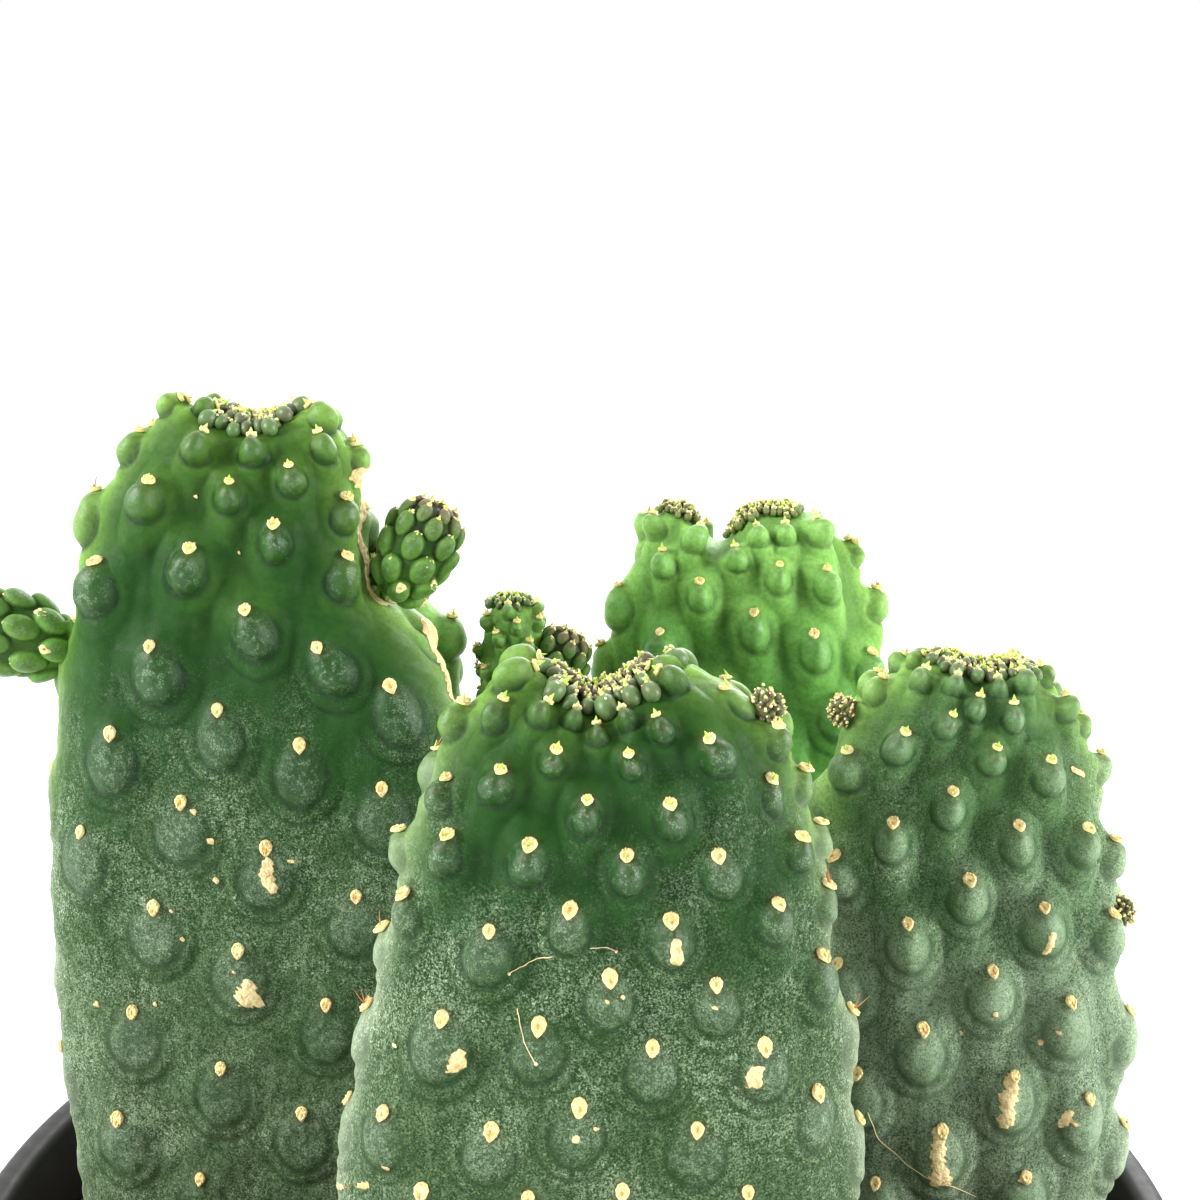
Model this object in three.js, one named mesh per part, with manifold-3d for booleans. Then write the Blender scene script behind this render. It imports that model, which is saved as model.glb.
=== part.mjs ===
// Potted paddle cactus: five flat tubercled stems and their side shoots in a round plastic pot.
// Millimetres, +Z up. The origin is the middle of the pot's foot, on the ground plane.
// X runs across the plant, and -Y is the side that the front paddle stands on.

import * as THREE from 'three';
import { mergeVertices } from 'three/addons/utils/BufferGeometryUtils.js';
import Module from 'manifold-3d';

const wasm = await Module();
wasm.setup();

// ---------------------------------------------------------------- driving dimensions

const GAP = 0.3;                 // clearance between pieces that touch on the real plant

const POT = {
  height: 140,
  rimRadius: 82.5,               // outside of the rolled lip
  footRadius: 57,
  footWidth: 5,                  // width of the ring that the pot stands on
  footLift: 3,                   // how far the floor is raised inside that ring
  wall: 1.6,
  lipOverhang: 2.4,
  lipDepth: 6,
  sides: 36,
  holes: 6,
  holeRadius: 5,
  holeCircle: 36,
};

const SOIL = {
  top: 128,                      // where the mix meets the wall
  crown: 2.5,                    // how much higher it lies in the middle
  lump: 0.7,                     // height of its lumps
  rings: 3,
  sides: 28,
  gap: 0.5,                      // between the mix and the wall
};

const FOOT_DEPTH = 26;           // how deep a paddle reaches below the soil
const SOCKET_GAP = 2;            // room round a paddle's foot, in its plain hole

const SKIN = { color: 0x3f7a3a, roughness: 0.55 };
const YOUNG_SKIN = { color: 0x5c8f45, roughness: 0.6 };

// Each paddle is described from its crest line down. 's' is the distance in mm down its face,
// and 'edges' gives the left and right edge at some distances. 'thick' is half its thickness.
// 'dome' is how far down the face the rounded top runs, and 'domeHeight' how high that top is.
// 'saddles' are dips in the crest: [place along the crest, depth, width].
// Tubercles stand in rows: 'columns' of them in each row, each row turned by 'shift' of a column.
// The rows lie 'pitchTop' apart at the crest and, far below, 'pitch' plus a growing 'stretch'.
const PADDLES = {
  paddle_left: {
    at: [-42, 2], turn: 0, lean: [0, 0.02], top: 250, thick: 9, dome: 13, domeHeight: 8,
    saddles: [[2, 2.6, 6]],
    edges: [[0, -8, 8], [4, -9.6, 9.6], [9, -12.4, 12], [13, -15.6, 13.6], [20, -19.8, 13.9],
      [30, -22.8, 15.6], [37, -24.6, 23.4], [44, -25.8, 26.6], [54, -26.8, 27.6],
      [72, -28, 28], [90, -28, 27.6], [108, -27, 26.8], [128, -26.5, 26]],
    columns: 5, shift: 0.425, phase: 0.5, crownRows: 3,
    pitch: 6.93, pitchTop: 1.4, ramp: 3.4, stretch: 0.028, sides: 40, buds: [],
  },
  paddle_front: {
    at: [3.8, -34], turn: 0, lean: [0, 0], top: 224.6, thick: 9, dome: 13, domeHeight: 8,
    saddles: [[-0.5, 3.4, 4.5]],
    edges: [[0, -8, 8.5], [4, -11, 12], [9, -14.2, 17.2], [14, -17.2, 20.6], [20, -19.6, 22.4],
      [26, -21.6, 24.4], [35, -23.6, 26], [47, -26.2, 27.8], [60, -29, 28.8],
      [72, -30.4, 29.6], [104, -29.5, 29]],
    columns: 12, shift: 0.427, phase: 0.933, crownRows: 2,
    pitch: 4.4, pitchTop: 2.8, ramp: 4.75, stretch: 0.253, sides: 48, buds: [[0.965, 9.5]],
  },
  paddle_right: {
    at: [53.5, -6], turn: 0, lean: [0, 0], top: 219.2, thick: 8.5, dome: 12, domeHeight: 7.5,
    saddles: [[-1, 1.6, 4.5], [8, 2.4, 4]],
    edges: [[0, -7.5, 5.5], [4, -10, 6.6], [9, -13.2, 8.8], [14, -17.6, 11], [20, -19.4, 13],
      [30, -20, 15.6], [44, -20.3, 18.6], [60, -20.5, 19], [75, -20.5, 18.8], [98, -20, 18]],
    columns: 5, shift: 0.559, phase: 0.424, crownRows: 3,
    pitch: 4, pitchTop: 2.8, ramp: 7.7, stretch: 0.168, sides: 40,
    buds: [[0.522, 12.5], [0.985, 39]],
  },
  paddle_back_right: {
    at: [27, 44], turn: -4, lean: [0, 0.02], top: 230.6, thick: 9.5, dome: 14, domeHeight: 9,
    saddles: [[-4.6, 6.5, 3]],
    edges: [[0, -13, 12], [4, -14.2, 13], [9, -15.8, 15], [14, -19, 18], [20, -20.6, 20],
      [30, -22, 22.5], [44, -22.5, 23], [70, -22, 22.5], [110, -21, 21]],
    columns: 6, shift: 0.5, phase: 0.25, crownRows: 2,
    pitch: 7.4, pitchTop: 2.4, ramp: 2.2, stretch: 0.02, sides: 36, buds: [],
  },
  paddle_back_left: {
    at: [-38, 40], turn: 6, lean: [0, 0], top: 222, thick: 8.5, dome: 12, domeHeight: 8,
    saddles: [[1, 2, 5]],
    edges: [[0, -7, 7], [5, -10, 10], [12, -14.5, 15], [20, -17.5, 18], [32, -19.5, 19.5],
      [60, -20, 20], [100, -19, 19]],
    columns: 4, shift: 0.45, phase: 0.4, crownRows: 2,
    pitch: 8.2, pitchTop: 2.4, ramp: 2.6, stretch: 0.02, sides: 32, buds: [],
  },
  paddle_back_centre: {
    at: [-10, 38], turn: 0, lean: [0, 0], top: 216, thick: 5.5, dome: 8, domeHeight: 5,
    saddles: [],
    edges: [[0, -2, 2.5], [4, -3.8, 4.6], [9, -5, 5.6], [16, -5.6, 5.8], [40, -6, 6],
      [90, -6, 6]],
    columns: 4, shift: 0.4, phase: 0.1, crownRows: 2,
    pitch: 7.4, pitchTop: 2.2, ramp: 2.2, stretch: 0.05, sides: 16, buds: [],
  },
};

// Side shoots. 'root' is where one leaves its paddle, 'axis' the way it grows, 'length' how far it
// stands out, and 'wide' and 'thick' are half its width and half its thickness.
const SHOOTS = {
  pup_left_edge: {
    on: 'paddle_left', root: [-67, 2, 217], axis: [-1, 0, 0.32], length: 13.5, wide: 5.8,
    thick: 4.4,
  },
  pup_left_shoulder: {
    on: 'paddle_left', root: [-22.3, 1.5, 225.6], axis: [0.5, -0.05, 1], length: 12.6, wide: 5.2,
    thick: 4.4,
  },
  pup_left_shoulder_small: {
    on: 'paddle_left', root: [-26.5, 6.5, 226], axis: [0.25, 0.5, 1], length: 8, wide: 3.4,
    thick: 3,
  },
  pup_back_centre: {
    on: 'paddle_back_centre', root: [-5, 38, 201.5], axis: [0.45, -0.1, 1], length: 11,
    wide: 5, thick: 4.2,
  },
};

const SHOOT_SIDES = 16;
const SHOOT_RINGS = 8;
const SHOOT_SINK = 3;            // how deep a shoot's root is sunk before its paddle is cut out

// ---------------------------------------------------------------- small helpers

const smooth = (x, low, high) => THREE.MathUtils.smoothstep(x, low, high);

function solidOf(geometry) {
  const bare = geometry.clone();
  bare.deleteAttribute('normal');
  bare.deleteAttribute('uv');
  const merged = mergeVertices(bare, 1e-4);
  return new wasm.Manifold(new wasm.Mesh({
    numProp: 3,
    vertProperties: Float32Array.from(merged.attributes.position.array),
    triVerts: Uint32Array.from(merged.index.array),
  }));
}

function geometryOf(solid) {
  const mesh = solid.getMesh();
  const geometry = new THREE.BufferGeometry();
  geometry.setAttribute('position', new THREE.BufferAttribute(mesh.vertProperties, mesh.numProp));
  geometry.setIndex(new THREE.BufferAttribute(mesh.triVerts, 1));
  geometry.computeVertexNormals();
  return geometry;
}

function meshOf(name, geometry, { color, roughness, metalness = 0 }) {
  const mesh = new THREE.Mesh(
    geometry, new THREE.MeshStandardMaterial({ color, roughness, metalness }));
  mesh.name = name;
  return mesh;
}

// Value of one column of the rows [s, left, right] on a smooth curve through them.
function along(rows, column, s) {
  const last = rows.length - 1;
  const slope = (i) => {
    const a = rows[Math.max(i - 1, 0)];
    const b = rows[Math.min(i + 1, last)];
    return (b[column] - a[column]) / (b[0] - a[0]);
  };
  let i = 0;
  while (i < last - 1 && s >= rows[i + 1][0]) i += 1;
  const step = rows[i + 1][0] - rows[i][0];
  const t = THREE.MathUtils.clamp((s - rows[i][0]) / step, 0, 1);
  return (1 + 2 * t) * (1 - t) ** 2 * rows[i][column] + t * (1 - t) ** 2 * step * slope(i)
    + t * t * (3 - 2 * t) * rows[i + 1][column] + t * t * (t - 1) * step * slope(i + 1);
}

// ---------------------------------------------------------------- the surface of a paddle

// Distance down the face of row r, counted from the crest.
function rowDistance(p, r) {
  return p.pitch * r - (p.pitch - p.pitchTop) * p.ramp * (1 - Math.exp(-r / p.ramp))
    + p.stretch * r * r;
}

function faceLength(p) {
  return p.top - SOIL.top - p.domeHeight + p.dome;
}

// Smooth body of a paddle: 'turn' goes once round from 0 to 1, and s runs down the face.
// The section is two flat faces joined by round edges, a little thinner towards the edges.
function bodyPoint(p, turn, s) {
  const domeAngle = Math.min(s / p.dome, 1) * Math.PI / 2;
  const past = Math.max(s - p.dome, 0);
  const foot = THREE.MathUtils.clamp((s - faceLength(p)) / FOOT_DEPTH, 0, 1);
  const taper = Math.sqrt(1 - foot * foot);
  const left = along(p.edges, 1, s) * taper;
  const right = along(p.edges, 2, s) * taper;
  const half = (right - left) / 2;
  const thick = Math.min((p.thick * Math.sin(domeAngle) + 0.02 * past) * taper, 0.92 * half);
  const flat = half - thick;
  const perimeter = 2 * Math.PI * thick + 4 * flat;
  let t = ((turn % 1) + 1) % 1 * perimeter;
  const near = t > perimeter / 2;
  if (near) t = perimeter - t;
  const leftSide = t > perimeter / 4;
  if (leftSide) t = perimeter / 2 - t;
  const arc = Math.PI * thick / 2;
  const angle = t / Math.max(thick, 1e-6);
  let x = t < arc ? flat + thick * Math.cos(angle) : flat - (t - arc);
  let y = t < arc ? thick * Math.sin(angle) : thick;
  if (leftSide) x = -x;
  if (near) y = -y;
  if (half > 0) y *= 1 - 0.22 * (x / half) ** 2;
  x += (left + right) / 2;
  const fade = Math.exp(-((s / 14) ** 2));
  let z = p.top - p.domeHeight * (1 - Math.cos(domeAngle)) - past;
  for (const [place, depth, width] of p.saddles) {
    z -= fade * depth * Math.exp(-(((x - place) / width) ** 2));
  }
  x += p.lean[0] * (z - p.top);
  y += p.lean[1] * (z - p.top);
  const yaw = THREE.MathUtils.degToRad(p.turn);
  const point = new THREE.Vector3(
    p.at[0] + x * Math.cos(yaw) - y * Math.sin(yaw),
    p.at[1] + x * Math.sin(yaw) + y * Math.cos(yaw),
    z);
  return { point, perimeter };
}

// Turn of the grid at row r, so that a vertex of the grid lies on every tubercle's tip.
function rowTurn(p, r) {
  const slip = p.shift / p.columns - Math.round(p.shift * p.sides / p.columns) / p.sides;
  return p.phase / p.columns + slip * (r - p.crownRows);
}

// One tubercle: an egg just below its tip, on a ridge that runs on down the face and fades out.
// across and down are distances in mm from the tip, and cell is the spacing of the tubercles.
function tubercle(across, down, cell, young) {
  const egg = 1 - (across / (0.25 * cell)) ** 2 - ((down - 0.2 * cell) / (0.32 * cell)) ** 2;
  const reach = down / (1.15 * cell);
  const halfWidth = 0.42 * cell * smooth(reach, -0.18, 0.2) * (1 - Math.max(reach, 0));
  const ridge = reach < 1 && halfWidth > 0
    ? Math.max(1 - (across / halfWidth) ** 2, 0) * (1 - 0.6 * Math.max(reach, 0)) : 0;
  const eggHeight = 0.19 * cell * (0.35 + 0.65 * young) * Math.sqrt(Math.max(egg, 0));
  return eggHeight + 0.1 * cell * (0.35 + 0.65 * young) * ridge;
}

// Height of the tubercles above the smooth body at this place.
function reliefAt(p, turn, r, s, perimeter) {
  let height = 0;
  const crownColumns = p.sides / 4;
  const lastCrown = 2 * p.crownRows - 1;
  const nearest = Math.round(2 * r);
  for (let k = Math.max(nearest - 1, 1); k <= Math.min(nearest + 1, lastCrown); k += 1) {
    const down = s - rowDistance(p, k / 2);
    const cell = Math.sqrt(perimeter / crownColumns
      * (rowDistance(p, (k + 1) / 2) - rowDistance(p, k / 2)));
    const column = (turn - rowTurn(p, k / 2)) * crownColumns - 0.5 * (k % 2);
    const across = (column - Math.round(column)) / crownColumns * perimeter;
    const round = 1 - (across ** 2 + down ** 2) / (0.5 * cell) ** 2;
    height = Math.max(height, 0.36 * cell * Math.sqrt(Math.max(round, 0)));
  }
  for (let j = Math.max(Math.floor(r) - 2, p.crownRows); j <= Math.floor(r) + 1; j += 1) {
    const rowAt = rowDistance(p, j);
    const cell = Math.min(Math.sqrt(perimeter / p.columns * (rowDistance(p, j + 1) - rowAt)), 12.5);
    const column = turn * p.columns - p.phase - p.shift * (j - p.crownRows);
    const across = (column - Math.round(column)) / p.columns * perimeter;
    const young = 1 - smooth(rowAt, 18, 70);
    height = Math.max(height, tubercle(across, s - rowAt, cell, young));
  }
  return height * (1 - smooth(s, faceLength(p) - 4, faceLength(p) + 4));
}

// A point of the finished surface, pushed out by the relief and by 'grow'.
function surfacePoint(p, turn, r, grow) {
  const s = rowDistance(p, r);
  const { point, perimeter } = bodyPoint(p, turn, s);
  const step = 0.05;
  const above = bodyPoint(p, turn, Math.max(s - step, 0)).point;
  const downward = bodyPoint(p, turn, s + step).point.sub(above).normalize();
  const around = bodyPoint(p, turn + step / perimeter, s).point
    .sub(bodyPoint(p, turn - step / perimeter, s).point).normalize();
  const outward = new THREE.Vector3().crossVectors(downward, around).normalize();
  const height = reliefAt(p, turn, r, s, perimeter);
  point.addScaledVector(outward, height + grow);
  point.addScaledVector(downward, -0.3 * height);
  return { point, outward, downward, height };
}

// The last rows of a paddle, which close its foot.
function footRows(p) {
  return [0.45, 0.9, 1].map((part) => rowAtDistance(p, faceLength(p) + part * FOOT_DEPTH));
}

// Rows of the finished paddle: half a row apart from the crest to the soil, and then the foot.
function paddleRows(p) {
  const soilRow = rowAtDistance(p, faceLength(p));
  const rows = [];
  for (let r = 0; r < soilRow; r += 0.5) rows.push(r);
  return [...rows, ...footRows(p)];
}

// Closed surface of a paddle on a ball's grid, with a ring on each row but the first and the last,
// which are its poles.
function paddleGeometry(p, rows, sides, grow) {
  const rings = rows.length - 1;
  const geometry = new THREE.SphereGeometry(1, sides, rings);
  const positions = geometry.attributes.position;
  const heights = [];
  for (let ring = 0; ring <= rings; ring += 1) {
    const r = rows[ring];
    const pole = ring === 0 || ring === rings;
    for (let side = 0; side <= sides; side += 1) {
      const turn = (side % sides) / sides + rowTurn(p, r);
      const { point, height = 0 } = pole ? polePoint(p, r, grow, ring === 0)
        : surfacePoint(p, turn, r, grow);
      positions.setXYZ(heights.length, point.x, point.y, point.z);
      heights.push(height);
    }
  }
  geometry.setIndex(foldedIndex(heights, sides, rings));
  return geometry;
}

// Triangles of the grid, each square folded along the diagonal that lies higher in the relief.
function foldedIndex(heights, sides, rings) {
  const index = [];
  for (let ring = 0; ring < rings; ring += 1) {
    for (let side = 0; side < sides; side += 1) {
      const b = ring * (sides + 1) + side;
      const a = b + 1;
      const c = b + sides + 1;
      const d = c + 1;
      const upright = heights[a] + heights[c] > heights[b] + heights[d] + 1e-6;
      if (ring === 0) index.push(b, c, d);
      else if (ring === rings - 1) index.push(a, b, d);
      else if (upright) index.push(a, b, c, a, c, d);
      else index.push(a, b, d, b, c, d);
    }
  }
  return index;
}

// The middle of the crest line or the lowest point of the foot.
function polePoint(p, r, grow, upper) {
  const s = rowDistance(p, r);
  const right = bodyPoint(p, 0.25, s).point;
  const left = bodyPoint(p, 0.75, s).point;
  const point = right.add(left).multiplyScalar(0.5);
  point.z += upper ? grow : -grow;
  return { point };
}

function rowAtDistance(p, distance) {
  let low = 0;
  let high = 60;
  for (let i = 0; i < 40; i += 1) {
    const middle = (low + high) / 2;
    if (rowDistance(p, middle) < distance) low = middle;
    else high = middle;
  }
  return (low + high) / 2;
}

// ---------------------------------------------------------------- buds and spines

const BUD_RADIUS = 2.1;
const SPINE = { length: 4, radius: 0.4, sunk: 1.2, rowStep: 5 };

function budSolid(p, [turn, s]) {
  const { point, outward } = surfacePoint(p, turn, rowAtDistance(p, s), 0);
  const bead = new THREE.SphereGeometry(BUD_RADIUS, 8, 5);
  bead.rotateX(Math.PI / 2);
  bead.applyQuaternion(
    new THREE.Quaternion().setFromUnitVectors(new THREE.Vector3(0, 0, 1), outward));
  const middle = point.addScaledVector(outward, 0.55 * BUD_RADIUS);
  bead.translate(middle.x, middle.y, middle.z);
  return solidOf(bead);
}

// A spine that leans up and out from the tip of the tubercle in this row and column.
function spineSolid(p, row, column) {
  const turn = (column + p.shift * (row - p.crownRows) + p.phase) / p.columns;
  const { point, outward, downward } = surfacePoint(p, turn, row, 0);
  const way = outward.addScaledVector(downward, -0.5).normalize();
  const needle = new THREE.ConeGeometry(SPINE.radius, SPINE.length, 3);
  needle.translate(0, SPINE.length / 2 - SPINE.sunk, 0);
  needle.applyQuaternion(
    new THREE.Quaternion().setFromUnitVectors(new THREE.Vector3(0, 1, 0), way));
  needle.translate(point.x, point.y, point.z);
  return solidOf(needle);
}

// Few areoles carry a spine: one in every few rows, a different column each time.
function paddleSolid(p) {
  let solid = solidOf(paddleGeometry(p, paddleRows(p), p.sides, 0));
  for (const bud of p.buds) solid = solid.add(budSolid(p, bud));
  const lastRow = rowAtDistance(p, faceLength(p)) - 2;
  for (let row = p.crownRows + 1, column = 0; row < lastRow; row += SPINE.rowStep, column += 3) {
    solid = solid.add(spineSolid(p, row, column));
  }
  return solid;
}

// ---------------------------------------------------------------- side shoots

// A shoot is a small egg-shaped pad covered with beads, wider near its top.
function shootGeometry(shoot) {
  const whole = shoot.length + SHOOT_SINK;
  const geometry = new THREE.SphereGeometry(1, SHOOT_SIDES, SHOOT_RINGS);
  const positions = geometry.attributes.position;
  for (let ring = 0; ring <= SHOOT_RINGS; ring += 1) {
    const polar = Math.PI * ring / SHOOT_RINGS;
    const height = whole * (0.5 + 0.5 * Math.cos(polar)) - SHOOT_SINK;
    const girth = Math.sin(polar) ** 0.8 * (1 + 0.18 * Math.cos(polar));
    for (let side = 0; side <= SHOOT_SIDES; side += 1) {
      const beaded = ring > 0 && height > 0 && (side + 2 * (ring % 2)) % 4 === 0;
      const angle = 2 * Math.PI * (side % SHOOT_SIDES) / SHOOT_SIDES;
      const out = girth * (1 + (beaded ? 0.2 : 0));
      positions.setXYZ(ring * (SHOOT_SIDES + 1) + side,
        out * shoot.wide * Math.cos(angle), out * shoot.thick * Math.sin(angle),
        height + (beaded ? 0.5 : 0));
    }
  }
  const up = new THREE.Vector3(...shoot.axis).normalize();
  const across = new THREE.Vector3().crossVectors(new THREE.Vector3(0, 1, 0), up).normalize();
  const back = new THREE.Vector3().crossVectors(up, across);
  geometry.applyMatrix4(new THREE.Matrix4().makeBasis(across, back, up));
  geometry.translate(...shoot.root);
  return geometry;
}

function shootSolid(shoot) {
  const p = PADDLES[shoot.on];
  const parent = solidOf(paddleGeometry(p, paddleRows(p), p.sides, GAP));
  const pieces = solidOf(shootGeometry(shoot)).subtract(parent).decompose();
  return pieces.reduce((best, piece) => (piece.volume() > best.volume() ? piece : best));
}

// ---------------------------------------------------------------- pot and soil

const wallInner = (z) => {
  const top = POT.rimRadius - POT.lipOverhang - POT.wall;
  const bottom = POT.footRadius - POT.wall;
  return bottom + (top - bottom) * z / POT.height;
};
const potFloor = POT.footLift + POT.wall;

function potSolid() {
  const lipFoot = POT.height - POT.lipDepth;
  const wallOuter = (z) => wallInner(z) + POT.wall;
  const profile = [
    [0, POT.footLift],
    [POT.footRadius - POT.footWidth - 1, POT.footLift],
    [POT.footRadius - POT.footWidth, 0],
    [POT.footRadius - 1, 0],
    [wallOuter(1), 1],
    [wallOuter(lipFoot), lipFoot],
    [POT.rimRadius - 0.5, lipFoot],
    [POT.rimRadius, lipFoot + 0.6],
    [POT.rimRadius, POT.height - 1.2],
    [POT.rimRadius - 1, POT.height],
    [wallInner(POT.height) + 0.6, POT.height],
    [wallInner(POT.height - 0.8), POT.height - 0.8],
    [wallInner(potFloor + 1), potFloor + 1],
    [wallInner(potFloor) - 1, potFloor],
    [0, potFloor],
  ].map(([r, z]) => new THREE.Vector2(r, z));
  const shell = new THREE.LatheGeometry(profile, POT.sides);
  shell.rotateX(Math.PI / 2);
  let solid = solidOf(shell);
  for (let i = 0; i < POT.holes; i += 1) {
    const hole = new THREE.CylinderGeometry(POT.holeRadius, POT.holeRadius, 12, 12);
    hole.rotateX(Math.PI / 2);
    const angle = 2 * Math.PI * i / POT.holes;
    hole.translate(POT.holeCircle * Math.cos(angle), POT.holeCircle * Math.sin(angle), potFloor);
    solid = solid.subtract(solidOf(hole));
  }
  return solid;
}

function soilTop(x, y) {
  const edge = Math.hypot(x, y) / wallInner(SOIL.top);
  const lumps = Math.sin(0.21 * x + 1.3) * Math.sin(0.24 * y) + 0.6 * Math.sin(0.43 * x - 0.37 * y);
  return SOIL.top + SOIL.crown * (1 - edge * edge) + SOIL.lump * lumps * (1 - edge ** 6);
}

function soilSolid() {
  const rim = wallInner(SOIL.top) - SOIL.gap;
  const profile = [[0, potFloor + GAP], [wallInner(potFloor) - 2, potFloor + GAP],
    [wallInner(potFloor + 2) - SOIL.gap, potFloor + 2]];
  for (let i = 0; i <= SOIL.rings; i += 1) profile.push([rim * (1 - i / SOIL.rings), SOIL.top]);
  const mound = new THREE.LatheGeometry(
    profile.map(([r, z]) => new THREE.Vector2(r, z)), SOIL.sides);
  mound.rotateX(Math.PI / 2);
  const positions = mound.attributes.position;
  for (let i = 0; i < positions.count; i += 1) {
    if (positions.getZ(i) > SOIL.top - 1) {
      positions.setZ(i, soilTop(positions.getX(i), positions.getY(i)));
    }
  }
  let solid = solidOf(mound);
  for (const p of Object.values(PADDLES)) solid = solid.subtract(socketSolid(p));
  return solid;
}

// The plain hole that a paddle's foot stands in.
function socketSolid(p) {
  const mouth = rowAtDistance(p, faceLength(p) - 8);
  const soilRow = rowAtDistance(p, faceLength(p) + 2);
  return solidOf(paddleGeometry(p, [mouth, mouth, soilRow, ...footRows(p)], 16, SOCKET_GAP));
}

// ---------------------------------------------------------------- the object

const group = new THREE.Group();
group.add(meshOf('pot', geometryOf(potSolid()), { color: 0x232120, roughness: 0.5 }));
group.add(meshOf('soil', geometryOf(soilSolid()), { color: 0x2e2219, roughness: 0.95 }));
for (const [name, p] of Object.entries(PADDLES)) {
  group.add(meshOf(name, geometryOf(paddleSolid(p)), SKIN));
}
for (const [name, shoot] of Object.entries(SHOOTS)) {
  group.add(meshOf(name, geometryOf(shootSolid(shoot)), YOUNG_SKIN));
}

export default group;
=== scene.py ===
"""The looks of a potted paddle cactus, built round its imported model.

Laid out as a Blender add-on and run as a script. Sizes are millimetres in the model's own frame,
and metres where they reach a mesh, a light or a shader.
"""

import math

import bpy
import numpy as np
from bpy.props import (BoolProperty, FloatProperty, FloatVectorProperty, IntProperty,
                       PointerProperty)
from mathutils import Matrix, Vector


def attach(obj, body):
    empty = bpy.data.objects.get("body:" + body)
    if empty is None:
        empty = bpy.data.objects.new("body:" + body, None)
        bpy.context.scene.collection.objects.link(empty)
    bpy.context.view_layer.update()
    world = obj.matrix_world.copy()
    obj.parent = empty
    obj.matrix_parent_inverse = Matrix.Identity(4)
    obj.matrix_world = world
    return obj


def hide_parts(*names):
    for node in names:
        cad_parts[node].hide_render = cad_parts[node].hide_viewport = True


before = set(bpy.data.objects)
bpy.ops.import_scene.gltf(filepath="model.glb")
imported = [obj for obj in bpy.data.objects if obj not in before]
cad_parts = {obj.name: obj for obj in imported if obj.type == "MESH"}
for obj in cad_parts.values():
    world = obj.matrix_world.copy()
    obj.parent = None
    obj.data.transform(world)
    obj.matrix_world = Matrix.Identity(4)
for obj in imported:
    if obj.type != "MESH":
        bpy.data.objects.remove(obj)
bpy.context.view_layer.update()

bl_info = {
    "name": "Potted Paddle Cactus",
    "version": (1, 0, 0),
    "blender": (4, 5, 0),
    "location": "View3D > Sidebar > Cactus",
    "description": "Builds the visible pieces of a potted paddle cactus and its plain stage",
    "category": "Add Mesh",
}

MM = 0.001

# ---------------------------------------------------------------- driving dimensions, in mm

SOIL_TOP = 128.0      # height of the potting mix at the pot's wall
SOIL_DOME = 2.5       # rise of the mix towards its middle
FOOT_DEPTH = 26.0     # how deep a paddle's foot is buried

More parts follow.
